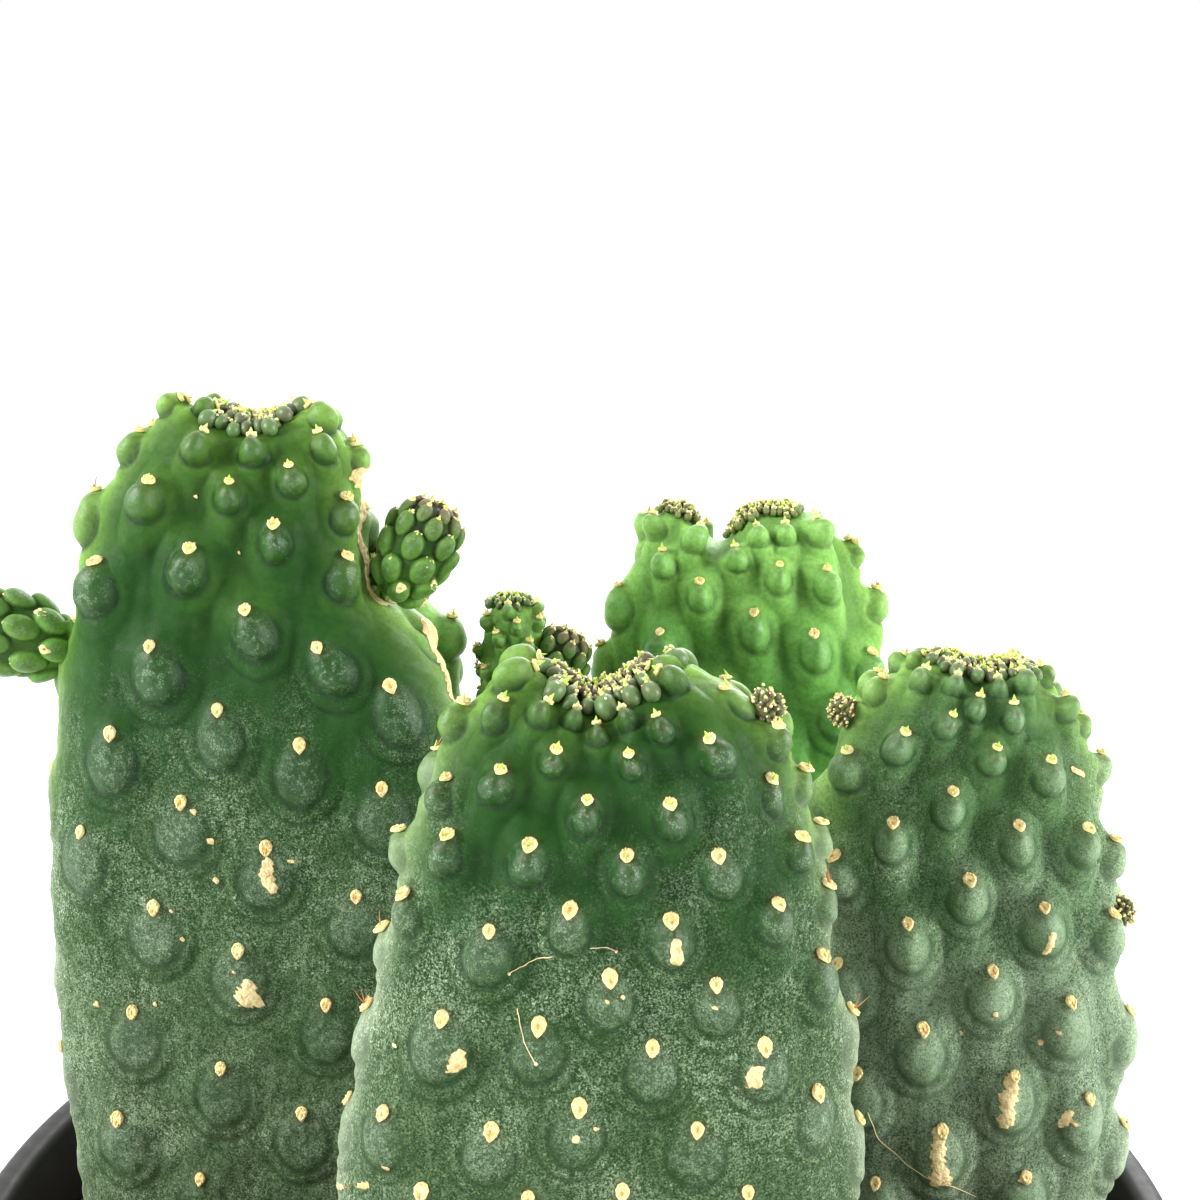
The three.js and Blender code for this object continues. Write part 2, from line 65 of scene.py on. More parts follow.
# A paddle is described from its crest line down, in the way its solid is:
#   at, turn, lean, top        its place, its turn in degrees, its slant and its crest's height
#   thick, dome, dome_height   its half thickness, and the length and height of its rounded top
#   saddles                    dips in the crest, as (place along it, depth, half width)
#   edges                      rows of (distance down the face, left edge, right edge)
#   columns, shift, phase      tubercles in a row, the step from row to row, and the first place
#   crown_rows                 rows that belong to the crown's beads
#   pitch, pitch_top, ramp, stretch   how far apart the rows are, from the crest down
#   grid                       faces once round the skin, and the height of one
#   buds                       (turn, distance down the face) of each bud
#   inset                      how far the body lies inside its solid near the crest
#   tone                       how far the skin's colours are moved on towards the old end
#   fold, old                  height of the folds, and share of the relief that old skin keeps
#   skin, beads                finishes of its skin and of its crown
PADDLES = {
    "left": dict(
        node="paddle_left", at=(-42, 2), turn=0, lean=(0, 0.02), top=250, thick=9, dome=13,
        dome_height=8, saddles=[(2, 2.6, 6)],
        edges=[(0, -8, 8), (4, -9.6, 9.8), (9, -12.4, 13), (13, -15, 15.2), (20, -18.8, 15.8),
               (30, -22.2, 16.6), (37, -24.6, 23.4), (44, -25.8, 26.6), (54, -26.8, 27.6),
               (72, -28, 28), (90, -28, 27.6), (108, -27, 26.8), (128, -26.5, 26)],
        columns=5, shift=0.425, phase=0.5, crown_rows=3,
        pitch=6.93, pitch_top=1.4, ramp=3.4, stretch=0.028, grid=(300, 0.42), buds=[],
        inset=1.0, tone=0.0, fold=0.2, old=0.1, skin="mature_skin", beads="bead_skin"),
    "front": dict(
        node="paddle_front", at=(3.8, -34), turn=0, lean=(0, 0), top=224.6, thick=9, dome=13,
        dome_height=8, saddles=[(-0.5, 3.4, 4.5)],
        edges=[(0, -8, 8.5), (4, -11, 12), (9, -14.2, 17.2), (14, -17.2, 20.6), (20, -19.6, 22.4),
               (26, -21.6, 24.4), (35, -23.6, 26), (47, -26.2, 27.8), (60, -29, 28.8),
               (72, -30.4, 29.6), (104, -29.5, 29)],
        columns=12, shift=0.427, phase=0.933, crown_rows=2,
        pitch=4.4, pitch_top=2.8, ramp=4.75, stretch=0.253, grid=(360, 0.4),
        buds=[(0.965, 9.5)], inset=0.9, tone=0.22, fold=0.2, old=0.2,
        skin="mature_skin", beads="bead_skin"),
    "right": dict(
        node="paddle_right", at=(53.5, -6), turn=0, lean=(0, 0), top=218.6, thick=8.5, dome=12,
        dome_height=7.5, saddles=[(-1, 1.6, 4.5), (8, 2.4, 4)],
        edges=[(0, -7.5, 5.5), (4, -10.4, 6.8), (9, -14.6, 9.4), (14, -19.2, 12), (20, -21, 14),
               (30, -21.2, 16.2), (44, -20.3, 18.6), (60, -20.5, 19), (75, -20.5, 18.8),
               (98, -20, 18)],
        columns=5, shift=0.559, phase=0.424, crown_rows=3,
        pitch=4, pitch_top=2.8, ramp=7.7, stretch=0.168, grid=(300, 0.4),
        buds=[(0.522, 12.5), (0.985, 39)], inset=1.0, tone=0.16, fold=0.32, old=0.36,
        skin="greyed_skin", beads="bead_skin"),
    "back_right": dict(
        node="paddle_back_right", at=(27, 44), turn=-4, lean=(0, 0.02), top=230.6, thick=9.5,
        dome=14, dome_height=9, saddles=[(-4.6, 5.0, 3.2)],
        edges=[(0, -13, 12), (4, -14.2, 13), (9, -15.8, 15), (14, -19, 18), (20, -20.6, 20),
               (30, -22, 22.5), (44, -22.5, 23), (70, -22, 22.5), (110, -21, 21)],
        columns=6, shift=0.5, phase=0.25, crown_rows=2,
        pitch=7.4, pitch_top=2.4, ramp=2.2, stretch=0.02, grid=(280, 0.46), buds=[],
        inset=1.7, tone=-0.05, fold=0.24, old=0.3, skin="fresh_skin", beads="bud_skin"),
    "back_left": dict(
        node="paddle_back_left", at=(-38, 40), turn=6, lean=(0, 0), top=222, thick=8.5, dome=12,
        dome_height=8, saddles=[(1, 2, 5)],
        edges=[(0, -7, 7), (5, -10, 10), (12, -14.5, 15), (20, -17.5, 18), (32, -19.5, 19.5),
               (60, -20, 20), (100, -19, 19)],
        columns=4, shift=0.45, phase=0.4, crown_rows=2,
        pitch=8.2, pitch_top=2.4, ramp=2.6, stretch=0.02, grid=(250, 0.5), buds=[],
        inset=0.3, tone=0.0, fold=0.22, old=0.3, skin="fresh_skin", beads="bead_skin"),
    "back_centre": dict(
        node="paddle_back_centre", at=(-10, 38), turn=0, lean=(0, 0), top=216, thick=5.5, dome=8,
        dome_height=5, saddles=[],
        edges=[(0, -2, 2.5), (4, -3.8, 4.6), (9, -5, 5.6), (16, -5.6, 5.8), (40, -6, 6),
               (90, -6, 6)],
        columns=4, shift=0.4, phase=0.1, crown_rows=2,
        pitch=3.4, pitch_top=2.2, ramp=2.2, stretch=0.01, grid=(160, 0.35), buds=[],
        inset=0.7, tone=0.0, fold=0.2, old=0.6, skin="fresh_skin", beads="bead_skin"),
}

# Areoles on the faces that the photograph shows, as (x, y) pixels in its 1200 x 1200 frame, read
# off it. A third value stretches a tubercle that runs on as a fold, and a fourth is its height as
# a share of its neighbours'. The hidden faces follow each paddle's rows instead.
SEEN_AREOLES = {
    "left": [
        (213, 409), (253, 443), (289, 469), (318, 438, 1.2), (311, 411, 1.3), (203, 439),
        (153, 430, 1.3), (188, 397, 1.4), (358, 441, 1.2), (153, 486), (230, 485), (343, 501),
        (274, 527), (97, 494, 1.2), (190, 552), (343, 559), (103, 566), (248, 613), (153, 648),
        (319, 650), (75, 650), (390, 689), (218, 711), (112, 734), (300, 747), (182, 803),
        (267, 848), (382, 790), (83, 832), (155, 907), (240, 950), (357, 897), (66, 942),
        (134, 1012), (327, 1005), (222, 1067), (62, 1047), (120, 1118), (302, 1113), (202, 1177)],
    "front": [
        (530, 671, 1.5), (503, 705, 1.2), (545, 707), (575, 713), (597, 729), (625, 713),
        (658, 721), (555, 754), (629, 757), (502, 773), (710, 744), (774, 782, 1.2, 0.5),
        (587, 803), (670, 805), (440, 755, 1.2), (465, 709, 1.2), (663, 675, 1.3),
        (728, 686, 1.2, 0.3), (648, 655, 1.8), (450, 838), (530, 847), (627, 858), (718, 858),
        (400, 922), (490, 932), (570, 910), (670, 922), (775, 905), (610, 980), (715, 985),
        (822, 958), (443, 1020), (539, 1026), (653, 1049), (763, 1045), (387, 1113), (491, 1132),
        (579, 1108), (696, 1128), (818, 1095), (622, 1190), (747, 1192), (388, 830), (370, 928),
        (359, 1005), (340, 1098), (823, 825), (848, 1012), (858, 1120)],
    "right": [
        (926, 652, 1.4), (952, 652, 1.2), (925, 676), (885, 684, 1.3), (955, 681), (998, 684),
        (1022, 678), (978, 702, 1.2), (1013, 708, 1.3), (1042, 668, 1.3), (1060, 702),
        (1087, 712, 1.2), (949, 718), (905, 737), (855, 757), (993, 750), (1045, 762),
        (1092, 760), (950, 792), (893, 824), (1015, 827), (1078, 830), (820, 795), (967, 880),
        (1105, 843), (843, 857), (907, 922), (1040, 907), (1103, 915), (845, 965), (990, 970),
        (1065, 1000), (922, 1027), (1122, 1012), (1010, 1073), (1082, 1097), (862, 1072),
        (940, 1128), (1020, 1172), (1123, 1125), (877, 1180)],
    "back_right": [
        (663, 555), (696, 531), (656, 518), (624, 590, 1.2), (661, 635), (700, 585), (736, 551),
        (757, 528), (786, 527), (816, 524), (780, 568, 1.1), (826, 573, 1.1), (754, 616, 1.1),
        (814, 637), (870, 655), (875, 592), (852, 540), (603, 648)],
    "back_centre": [
        (508, 608), (517, 624), (497, 635), (478, 647), (508, 655), (486, 669), (538, 620),
        (535, 605), (528, 643), (488, 617), (470, 668), (500, 676)],
}

# Each stretch of crest where new tubercles form: its middle along the paddle, its half length, how
# far its beads reach, and their size as a share of the usual one.
APEXES = {
    "left": [(1.8, 1.5, 4.8, 1)], "front": [(0.5, 2.8, 4.6, 1)], "right": [(-1.5, 3, 4.2, 0.9)],
    "back_right": [(-10.1, 1.2, 2.6, 0.68), (1.6, 3.2, 3.2, 0.68)],
    "back_left": [(1, 2.6, 4, 1)], "back_centre": [(0, 0.6, 2.2, 0.85)],
}

# Side shoots: where one leaves its paddle, the way it grows, and its length and half widths.
PUPS = {
    "left_edge": dict(root=(-67, 2, 217), axis=(-1, 0, 0.32), length=13.5, wide=5.8, thick=4.4),
    "left_shoulder": dict(root=(-22.3, 1.5, 225.6), axis=(0.5, -0.05, 1), length=12.6, wide=5.2,
                          thick=4.4),
    "left_shoulder_small": dict(root=(-26.2, 6, 224.8), axis=(0.1, 0.4, 1), length=6.4,
                                wide=3, thick=3),
    "back_centre": dict(root=(-5, 38, 201.5), axis=(0.45, -0.1, 1), length=11, wide=5,
                        thick=4.2),
}
PUP_SINK = 3.0         # how deep a shoot's foot is sunk into its paddle
PUP_SKIN_SINK = 0.19   # how far the skin between its tubercles lies inside, as a share of 'wide'

# Corky scars, as strokes of (x, y) pixels of the photograph with a half width in mm.
SCARS = {
    "left": [
        [(360, 474, 0.8), (366, 500, 1.1), (363, 530, 0.9), (371, 560, 1.0), (384, 600, 1.0)],
        [(432, 622, 0.8), (444, 645, 1.2), (455, 665, 0.9)],
        [(461, 670, 0.9), (470, 688, 1.3), (478, 702, 1.0)],
        [(268, 862, 0.6), (269, 876, 0.9), (275, 887, 0.6)],
        [(250, 984, 0.9), (247, 995, 1.3), (258, 1001, 0.7)],
        [(194, 497, 0.22)], [(237, 553, 0.22)], [(212, 840, 0.4)], [(217, 880, 0.45)],
        [(194, 811, 0.35)], [(291, 861, 0.3)], [(173, 911, 0.3)], [(183, 938, 0.4)],
        [(236, 970, 0.3)], [(303, 1110, 0.35)], [(155, 1003, 0.3)], [(98, 1003, 0.4)],
    ],
    "front": [
        [(461, 1054, 0.6), (457, 1064, 0.9)], [(755, 1069, 0.7), (752, 1080, 0.9)],
        [(675, 940, 0.5), (676, 958, 0.7)], [(577, 1137, 0.45)], [(596, 1127, 0.3)],
        [(388, 1168, 0.35)], [(342, 1186, 0.35), (368, 1186, 0.35)], [(392, 1046, 0.25)],
        [(622, 998, 0.25)], [(608, 1000, 0.25)], [(713, 1005, 0.25)],
    ],
    "right": [
        [(1008, 1075, 0.8), (1003, 1092, 1.0), (1000, 1115, 0.8)],
        [(937, 1130, 0.7), (935, 1158, 0.9), (938, 1172, 1.4)],
        [(1065, 1110, 0.45), (1058, 1122, 0.45)], [(1045, 930, 0.4), (1040, 950, 0.4)],
        [(1038, 1040, 0.35)], [(1020, 1172, 0.8)], [(1088, 775, 0.35), (1078, 770, 0.35)],
        [(990, 1010, 0.35)], [(1052, 1028, 0.3)], [(1068, 1120, 0.3)], [(962, 1035, 0.25)],
    ],
}

# Dry threads that lie on a face: the paddle, the radii of a bulb at the first point and of the
# thread, and its route as (x, y) pixels of the photograph.
THREADS = [
    ("front", 0.22, 0.06, [(508, 975), (519, 969), (536, 962), (552, 958)]),
    ("front", 0.2, 0.055, [(617, 954), (606, 950), (590, 950)]),
    ("front", 0.2, 0.055, [(537, 1062), (526, 1044), (521, 1028), (517, 1010)]),
    ("right", 0.06, 0.06, [(872, 1108), (879, 1138), (908, 1164), (940, 1178), (975, 1196)]),
]

# The pot. It stands on the ring 'foot', 'foot_width' wide, and its floor is 'foot_lift' above that.
POT = dict(height=140.0, rim=82.5, foot=57.0, foot_width=5.0, foot_lift=3.0, wall=1.6,
           overhang=2.4, lip_depth=6.0, holes=6, hole_radius=5.0, hole_circle=36.0)

# Rings that keep the pot's faces short, as a radius on its floor and heights on its wall, and
# the numbers of faces round the pot and over the soil.
FLOOR_RING = 30
OUTER_RINGS = (1.4, 40, 41, 90)
INNER_RINGS = (138.4, 124, 60)
POT_SIDES = 192
SOIL_SIDES = 360
SOIL_RINGS = 150

# Camera, in mm and degrees, read from the photograph's perspective.
CAMERA = dict(place=(3.816, -190.4, 264.42), down=12.0, lens=45.0, sensor=36.0)
PHOTO_WIDTH = 1200

# How a paddle's body thickens downwards per mm, is thicker in its middle, and loses its saddles.
THICKENING = 0.02
BULGE = 0.22
SADDLE_FADE = 14.0

# The part of the way round that the photograph can show, and how finely places on it, on the
# crest and along an apex are sought.
NEAR_FACE = (0.46, 1.04)
SEARCH_COLUMNS = 420
SEARCH_ROWS = 600
CREST_SAMPLES = 400
APEX_SAMPLES = 7

# How the tubercles are set: the widest spacing that counts, the least gap as a share of it, how
# far down the far face repeats the near one, and how far an apex turns its tubercles outwards.
WIDEST_CELL = 12.5
LEAST_GAP = 0.72
SHARED_TOP = 15
APEX_PULL = 17

# Where skin stops being young, down the face, and tubercles budlike, away from the apex.
YOUNG_SKIN = (10, 56)
BUDLIKE = (5, 17)

# Spacing of the skin's rings on the crest, and how many the deep green round a crown can reach.
CREST_SPACING = 0.3
CREST_RINGS = 40

# How far down the face a skin's colours run, and how broad the painted rim light on its edges is.
OLD_SKIN = 105.0
RIM_LIGHT_WIDTH = 5.5

# Heights of the relief: eggs, the gain of budlike ones and the steps below old ones, as shares of
# a cell, then creases and cork in mm.
EGG_HEIGHT = 0.21
BUD_GAIN = 0.13
STEP_HEIGHT = 0.024
CREASE_DEPTH = 0.27
APRON_CREASE_DEPTH = 0.14
CORK_HEIGHT = 0.16


def rgb(red, green, blue):
    """A colour given as 0 to 255 screen values, as linear RGBA."""
    def linear(value):
        value /= 255
        return value / 12.92 if value <= 0.04045 else ((value + 0.055) / 1.055) ** 2.4
    return (linear(red), linear(green), linear(blue), 1.0)


# ---------------------------------------------------------------- settings shown in the sidebar

def colour_property(name, description, default):
    """A colour that the sidebar shows."""
    return FloatVectorProperty(name=name, description=description, subtype="COLOR", size=4,
                               min=0, max=1, default=default)


class CactusPlantSettings(bpy.types.PropertyGroup):
    """Sizes and colours of the plant."""
    young_green: colour_property("Young green", "Skin near the crests", rgb(82, 122, 38))
    deep_green: colour_property("Deep green", "Skin of the upper faces", rgb(30, 68, 24))
    old_green: colour_property("Old green", "Greyed skin low on the faces", rgb(70, 91, 58))
    bloom: colour_property("Waxy bloom", "Pale wax on the skin", rgb(150, 168, 138))
    cork: colour_property("Cork", "Healed scars", rgb(232, 212, 158))
    wool: colour_property("Areole wool", "Wool of the areoles", rgb(252, 234, 166))
    wool_depth: colour_property("Areole centre", "Darker wool in the areoles", rgb(214, 150, 68))
    leaf: colour_property("Awl leaves", "Small leaves of young tubercles", rgb(146, 198, 52))
    bead: colour_property("Crown beads", "Youngest tubercles", rgb(96, 76, 68))
    areole_width: FloatProperty(name="Areole width", description="Width of an areole",
                                default=1.6 * MM, min=0.5 * MM, max=4 * MM, unit="LENGTH")
    spine_length: FloatProperty(name="Spine length", description="Length of the longest spines",
                                default=2.6 * MM, min=0, max=8 * MM, unit="LENGTH")
    seed: IntProperty(name="Seed", description="Start of every random draw", default=7, min=0)


class CactusPotSettings(bpy.types.PropertyGroup):
    """Colours of the pot and the potting mix."""
    plastic: colour_property("Plastic", "Moulded plastic of the pot", rgb(27, 26, 26))
    dust: colour_property("Dust", "Dust and scuffs on the plastic", rgb(120, 112, 104))
    peat: colour_property("Peat", "Fine part of the potting mix", rgb(52, 38, 28))
    bark: colour_property("Bark", "Bark chips in the potting mix", rgb(104, 70, 44))
    grit: colour_property("Grit", "Pale grit in the potting mix", rgb(214, 206, 192))
    chips: IntProperty(name="Chips", description="Number of bark chips", default=420, min=0)
    grains: IntProperty(name="Grains", description="Number of pale grains", default=170, min=0)


class CactusStageSettings(bpy.types.PropertyGroup):
    """The plain floor and the light."""
    floor: colour_property("Floor", "Pale floor", (0.86, 0.86, 0.86, 1))
    sky_light: FloatProperty(name="Sky", description="Light from above and behind", default=0.78,
                             min=0)
    key_light: FloatProperty(name="Key", description="Power of the soft light above",
                             default=7.8, min=0, subtype="POWER", unit="POWER")
    back_light: FloatProperty(name="Back", description="Power of the soft light behind",
                              default=5.0, min=0, subtype="POWER", unit="POWER")
    fill_light: FloatProperty(name="Fill", description="Power of the soft light at the right",
                              default=5.8, min=0, subtype="POWER", unit="POWER")
    show_floor: BoolProperty(name="Floor shown", description="Build the floor", default=True)


# ---------------------------------------------------------------- modelling helpers

def deselect_all():
    bpy.ops.object.select_all(action="DESELECT")


def edit_all(*steps):
    """Runs the steps in edit mode on the whole active mesh."""
    bpy.ops.object.mode_set(mode="EDIT")
    bpy.ops.mesh.select_all(action="SELECT")
    for step in steps:
        step()
    bpy.ops.object.mode_set(mode="OBJECT")


def make_active(piece):
    """Selects one piece alone."""
    deselect_all()
    piece.select_set(True)
    bpy.context.view_layer.objects.active = piece


def add_attribute(mesh, name, values):
    """One number for each vertex, which a material can read by name."""
    layer = mesh.attributes.new(name, "FLOAT", "POINT")
    layer.data.foreach_set("value", np.ascontiguousarray(values, np.float32).ravel())


def shaped_grid(name, points, **values):
    """A grid primitive with its vertices set to points[row, column], in mm, then sewn shut.

    values are vertex attributes with the same rows and columns.
    """
    rows, columns = points.shape[:2]
    deselect_all()
    bpy.ops.mesh.primitive_grid_add(x_subdivisions=columns - 1, y_subdivisions=rows - 1, size=1)
    piece = bpy.context.active_object
    piece.name = piece.data.name = name
    flat = np.empty(len(piece.data.vertices) * 3, np.float32)
    piece.data.vertices.foreach_get("co", flat)
    place = flat.reshape(-1, 3)
    column = np.rint((place[:, 0] + 0.5) * (columns - 1)).astype(int)
    row = np.rint((place[:, 1] + 0.5) * (rows - 1)).astype(int)
    piece.data.vertices.foreach_set("co", (points[row, column] * MM).astype(np.float32).ravel())
    for key, value in values.items():
        add_attribute(piece.data, key, value[row, column])
    edit_all(lambda: bpy.ops.mesh.remove_doubles(threshold=1e-6),
             lambda: bpy.ops.mesh.normals_make_consistent(inside=False))
    bpy.ops.object.shade_smooth()
    return piece


def join_pieces(name, pieces):
    """The pieces as one object called name."""
    make_active(pieces[0])
    for piece in pieces:
        piece.select_set(True)
    if len(pieces) > 1:
        bpy.ops.object.join()
    joined = bpy.context.active_object
    joined.name = joined.data.name = name
    return joined


def stamp(pattern, places, name, rng, rough, shades):
    """Copies of a pattern mesh at each matrix, joined into one object called name.

    rough moves each vertex of a copy at random by that share of the pattern's size, and shades
    gives each copy one number, which its vertices carry as the attribute 'shade'.
    """
    copies = []
    count = len(pattern.data.vertices)
    rest = np.empty(count * 3, np.float32)
    pattern.data.vertices.foreach_get("co", rest)
    for place, shade in zip(places, shades):
        mesh = pattern.data.copy()
        if rough:
            moved = rest * (1 + rng.normal(0, rough, (count, 1)).repeat(3, 1).ravel())
            mesh.vertices.foreach_set("co", moved.astype(np.float32))
        mesh.transform(place)
        add_attribute(mesh, "shade", np.full(count, shade))
        copy = bpy.data.objects.new(name, mesh)
        bpy.context.scene.collection.objects.link(copy)
        copies.append(copy)
    piece = join_pieces(name, copies)
    bpy.ops.object.shade_smooth()
    return piece


def frame_matrix(place, up, along, scale):
    """Puts a pattern at a place in mm, its +Z on up and its +Y as near as can be on along."""
    z = Vector(up).normalized()
    y = Vector(along)
    y = (y - z * y.dot(z)).normalized()
    x = y.cross(z)
    basis = Matrix((x, y, z)).transposed().to_4x4()
    return Matrix.Translation(Vector(place) * MM) @ basis @ Matrix.Diagonal((*scale, 1))


def finish_piece(piece, material, slot, *nodes):
    """Gives a piece its finish and its body, and hides the CAD nodes that it replaces. slot is not
    used.
    """
    piece.data.materials.clear()
    piece.data.materials.append(material)
    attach(piece, "root")
    if nodes:
        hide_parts(*nodes)
    return piece


def cover(slot, rng, parts):
    """Stamps and finishes each part of a covering, and removes its pattern.

    A part is (name, pattern, places, roughness, shades, finish), and shades are one number for
    each copy, or a tuple with the ends of a random draw.
    """
    for name, pattern, places, rough, shades, finish in parts:
        if isinstance(shades, tuple):
            shades = rng.uniform(*shades, len(places))
        finish_piece(stamp(pattern, places, name, rng, rough, shades), finish, slot)
        bpy.data.objects.remove(pattern)


def own_draws(plant, start, table, key):
    """A seeded source of random draws for one piece of a table."""
    return np.random.default_rng(plant.seed + start + sorted(table).index(key))


# ---------------------------------------------------------------- the shape of a paddle
# 'turn' is the share of the way once round a paddle, from its right edge over its far face, and
# 's' is the distance down a face from the crest line.

def smooth(value, low, high):
    """A soft step from 0 at low to 1 at high."""
    part = np.clip((value - low) / (high - low), 0, 1)
    return part * part * (3 - 2 * part)


def unit(vectors):
    """The vectors at length 1."""
    return vectors / np.maximum(np.linalg.norm(vectors, axis=-1, keepdims=True), 1e-9)


def on_curve(rows, column, s):
    """Value of one column of the rows (s, left, right) on a smooth curve through them."""
    knots = np.array(rows, float)
    x, y = knots[:, 0], knots[:, column]
    last = len(x) - 1
    after = np.minimum(np.arange(len(x)) + 1, last)
    before = np.maximum(np.arange(len(x)) - 1, 0)
    slope = (y[after] - y[before]) / (x[after] - x[before])
    i = np.clip(np.searchsorted(x, s, side="right") - 1, 0, last - 1)
    step = x[i + 1] - x[i]
    t = np.clip((s - x[i]) / step, 0, 1)
    return ((1 + 2 * t) * (1 - t) ** 2 * y[i] + t * (1 - t) ** 2 * step * slope[i]
            + t * t * (3 - 2 * t) * y[i + 1] + t * t * (t - 1) * step * slope[i + 1])


def row_distance(paddle, row):
    """How far down the face a row of tubercles is."""
    widening, rows = paddle["pitch"] - paddle["pitch_top"], paddle["ramp"]
    return (paddle["pitch"] * row - widening * rows * (1 - np.exp(-row / rows))
            + paddle["stretch"] * row * row)


def face_length(paddle):
    """The way down a face from the crest line to the soil."""
    return paddle["top"] - SOIL_TOP - paddle["dome_height"] + paddle["dome"]


def body_point(paddle, turn, s):
    """Points of the smooth body, and the distance once round it at each of them, in mm."""
    turn, s = np.broadcast_arrays(np.asarray(turn, float) % 1, np.asarray(s, float))
    dome_angle = np.minimum(s / paddle["dome"], 1) * math.pi / 2
    past = np.maximum(s - paddle["dome"], 0)
    foot = np.clip((s - face_length(paddle)) / FOOT_DEPTH, 0, 1)
    taper = np.sqrt(1 - foot * foot)
    left = on_curve(paddle["edges"], 1, s) * taper
    right = on_curve(paddle["edges"], 2, s) * taper
    half = (right - left) / 2
    thick = (paddle["thick"] * np.sin(dome_angle) + THICKENING * past) * taper
    thick = np.minimum(thick, 0.92 * half)
    flat = half - thick
    perimeter = 2 * math.pi * thick + 4 * flat
    t = turn * perimeter
    near = t > perimeter / 2
    t = np.where(near, perimeter - t, t)
    left_side = t > perimeter / 4
    t = np.where(left_side, perimeter / 2 - t, t)
    arc = math.pi * thick / 2
    angle = np.minimum(t, arc) / np.maximum(thick, 1e-6)
    x = np.where(t < arc, flat + thick * np.cos(angle), flat - (t - arc))
    y = np.where(t < arc, thick * np.sin(angle), thick)
    x = np.where(left_side, -x, x)
    y = np.where(near, -y, y)
    y = y * (1 - BULGE * (x / np.maximum(half, 1e-6)) ** 2)
    x = x + (left + right) / 2
    z = paddle["top"] - paddle["dome_height"] * (1 - np.cos(dome_angle)) - past
    fade = np.exp(-((s / SADDLE_FADE) ** 2))
    for place, depth, width in paddle["saddles"]:
        z = z - fade * depth * np.exp(-(((x - place) / width) ** 2))
    x = x + paddle["lean"][0] * (z - paddle["top"])
    y = y + paddle["lean"][1] * (z - paddle["top"])
    yaw = math.radians(paddle["turn"])
    points = np.stack([paddle["at"][0] + x * math.cos(yaw) - y * math.sin(yaw),
                       paddle["at"][1] + x * math.sin(yaw) + y * math.cos(yaw), z], -1)
    return points, perimeter


def photo_place(points):
    """Where points in mm show in the photograph, in its own pixels."""
    tilt = math.radians(CAMERA["down"])
    offset = points - np.array(CAMERA["place"])
    ahead = offset[..., 1] * math.cos(tilt) - offset[..., 2] * math.sin(tilt)
    over = offset[..., 1] * math.sin(tilt) + offset[..., 2] * math.cos(tilt)
    focal = PHOTO_WIDTH * CAMERA["lens"] / CAMERA["sensor"]
    return np.stack([PHOTO_WIDTH / 2 + focal * offset[..., 0] / ahead,
                     PHOTO_WIDTH / 2 - focal * over / ahead], -1)


def settled(paddle, pixels):
    """The turn and distance on the paddle's near face that show at each pixel."""
    turns = np.linspace(*NEAR_FACE, SEARCH_COLUMNS)
    turn, s = np.meshgrid(turns, np.linspace(0.3, face_length(paddle), SEARCH_ROWS), indexing="ij")
    shown = photo_place(body_point(paddle, turn, s)[0]).reshape(-1, 2)
    best = [int(np.argmin(((shown - pixel[:2]) ** 2).sum(-1))) for pixel in pixels]
    return turn.ravel()[best] % 1, s.ravel()[best]


def apex_points(key):
    """Points along each stretch of crest where new tubercles form, in mm, and their reach."""
    paddle = PADDLES[key]
    crest = body_point(paddle, np.linspace(0, 1, CREST_SAMPLES), 0.01)[0]
    yaw = math.radians(paddle["turn"])
    local = (crest[:, 0] - paddle["at"][0]) / math.cos(yaw)
    points, reach = [], []
    for middle, half, far, _ in APEXES[key]:
        for x in np.linspace(middle - half, middle + half, APEX_SAMPLES):
            points.append(crest[np.argmin(np.abs(local - x))])
            reach.append(far)
    return np.array(points), np.array(reach)


def body_frame(paddle, turn, s):
    """Outward and downward directions of the smooth body."""
    step = 0.05
    perimeter = np.maximum(body_point(paddle, turn, s)[1], 1)
    downward = (body_point(paddle, turn, s + step)[0]
                - body_point(paddle, turn, np.maximum(s - step, 0))[0])
    around = (body_point(paddle, turn + step / perimeter, s)[0]
              - body_point(paddle, turn - step / perimeter, s)[0])
    return unit(np.cross(downward, around)), unit(downward)


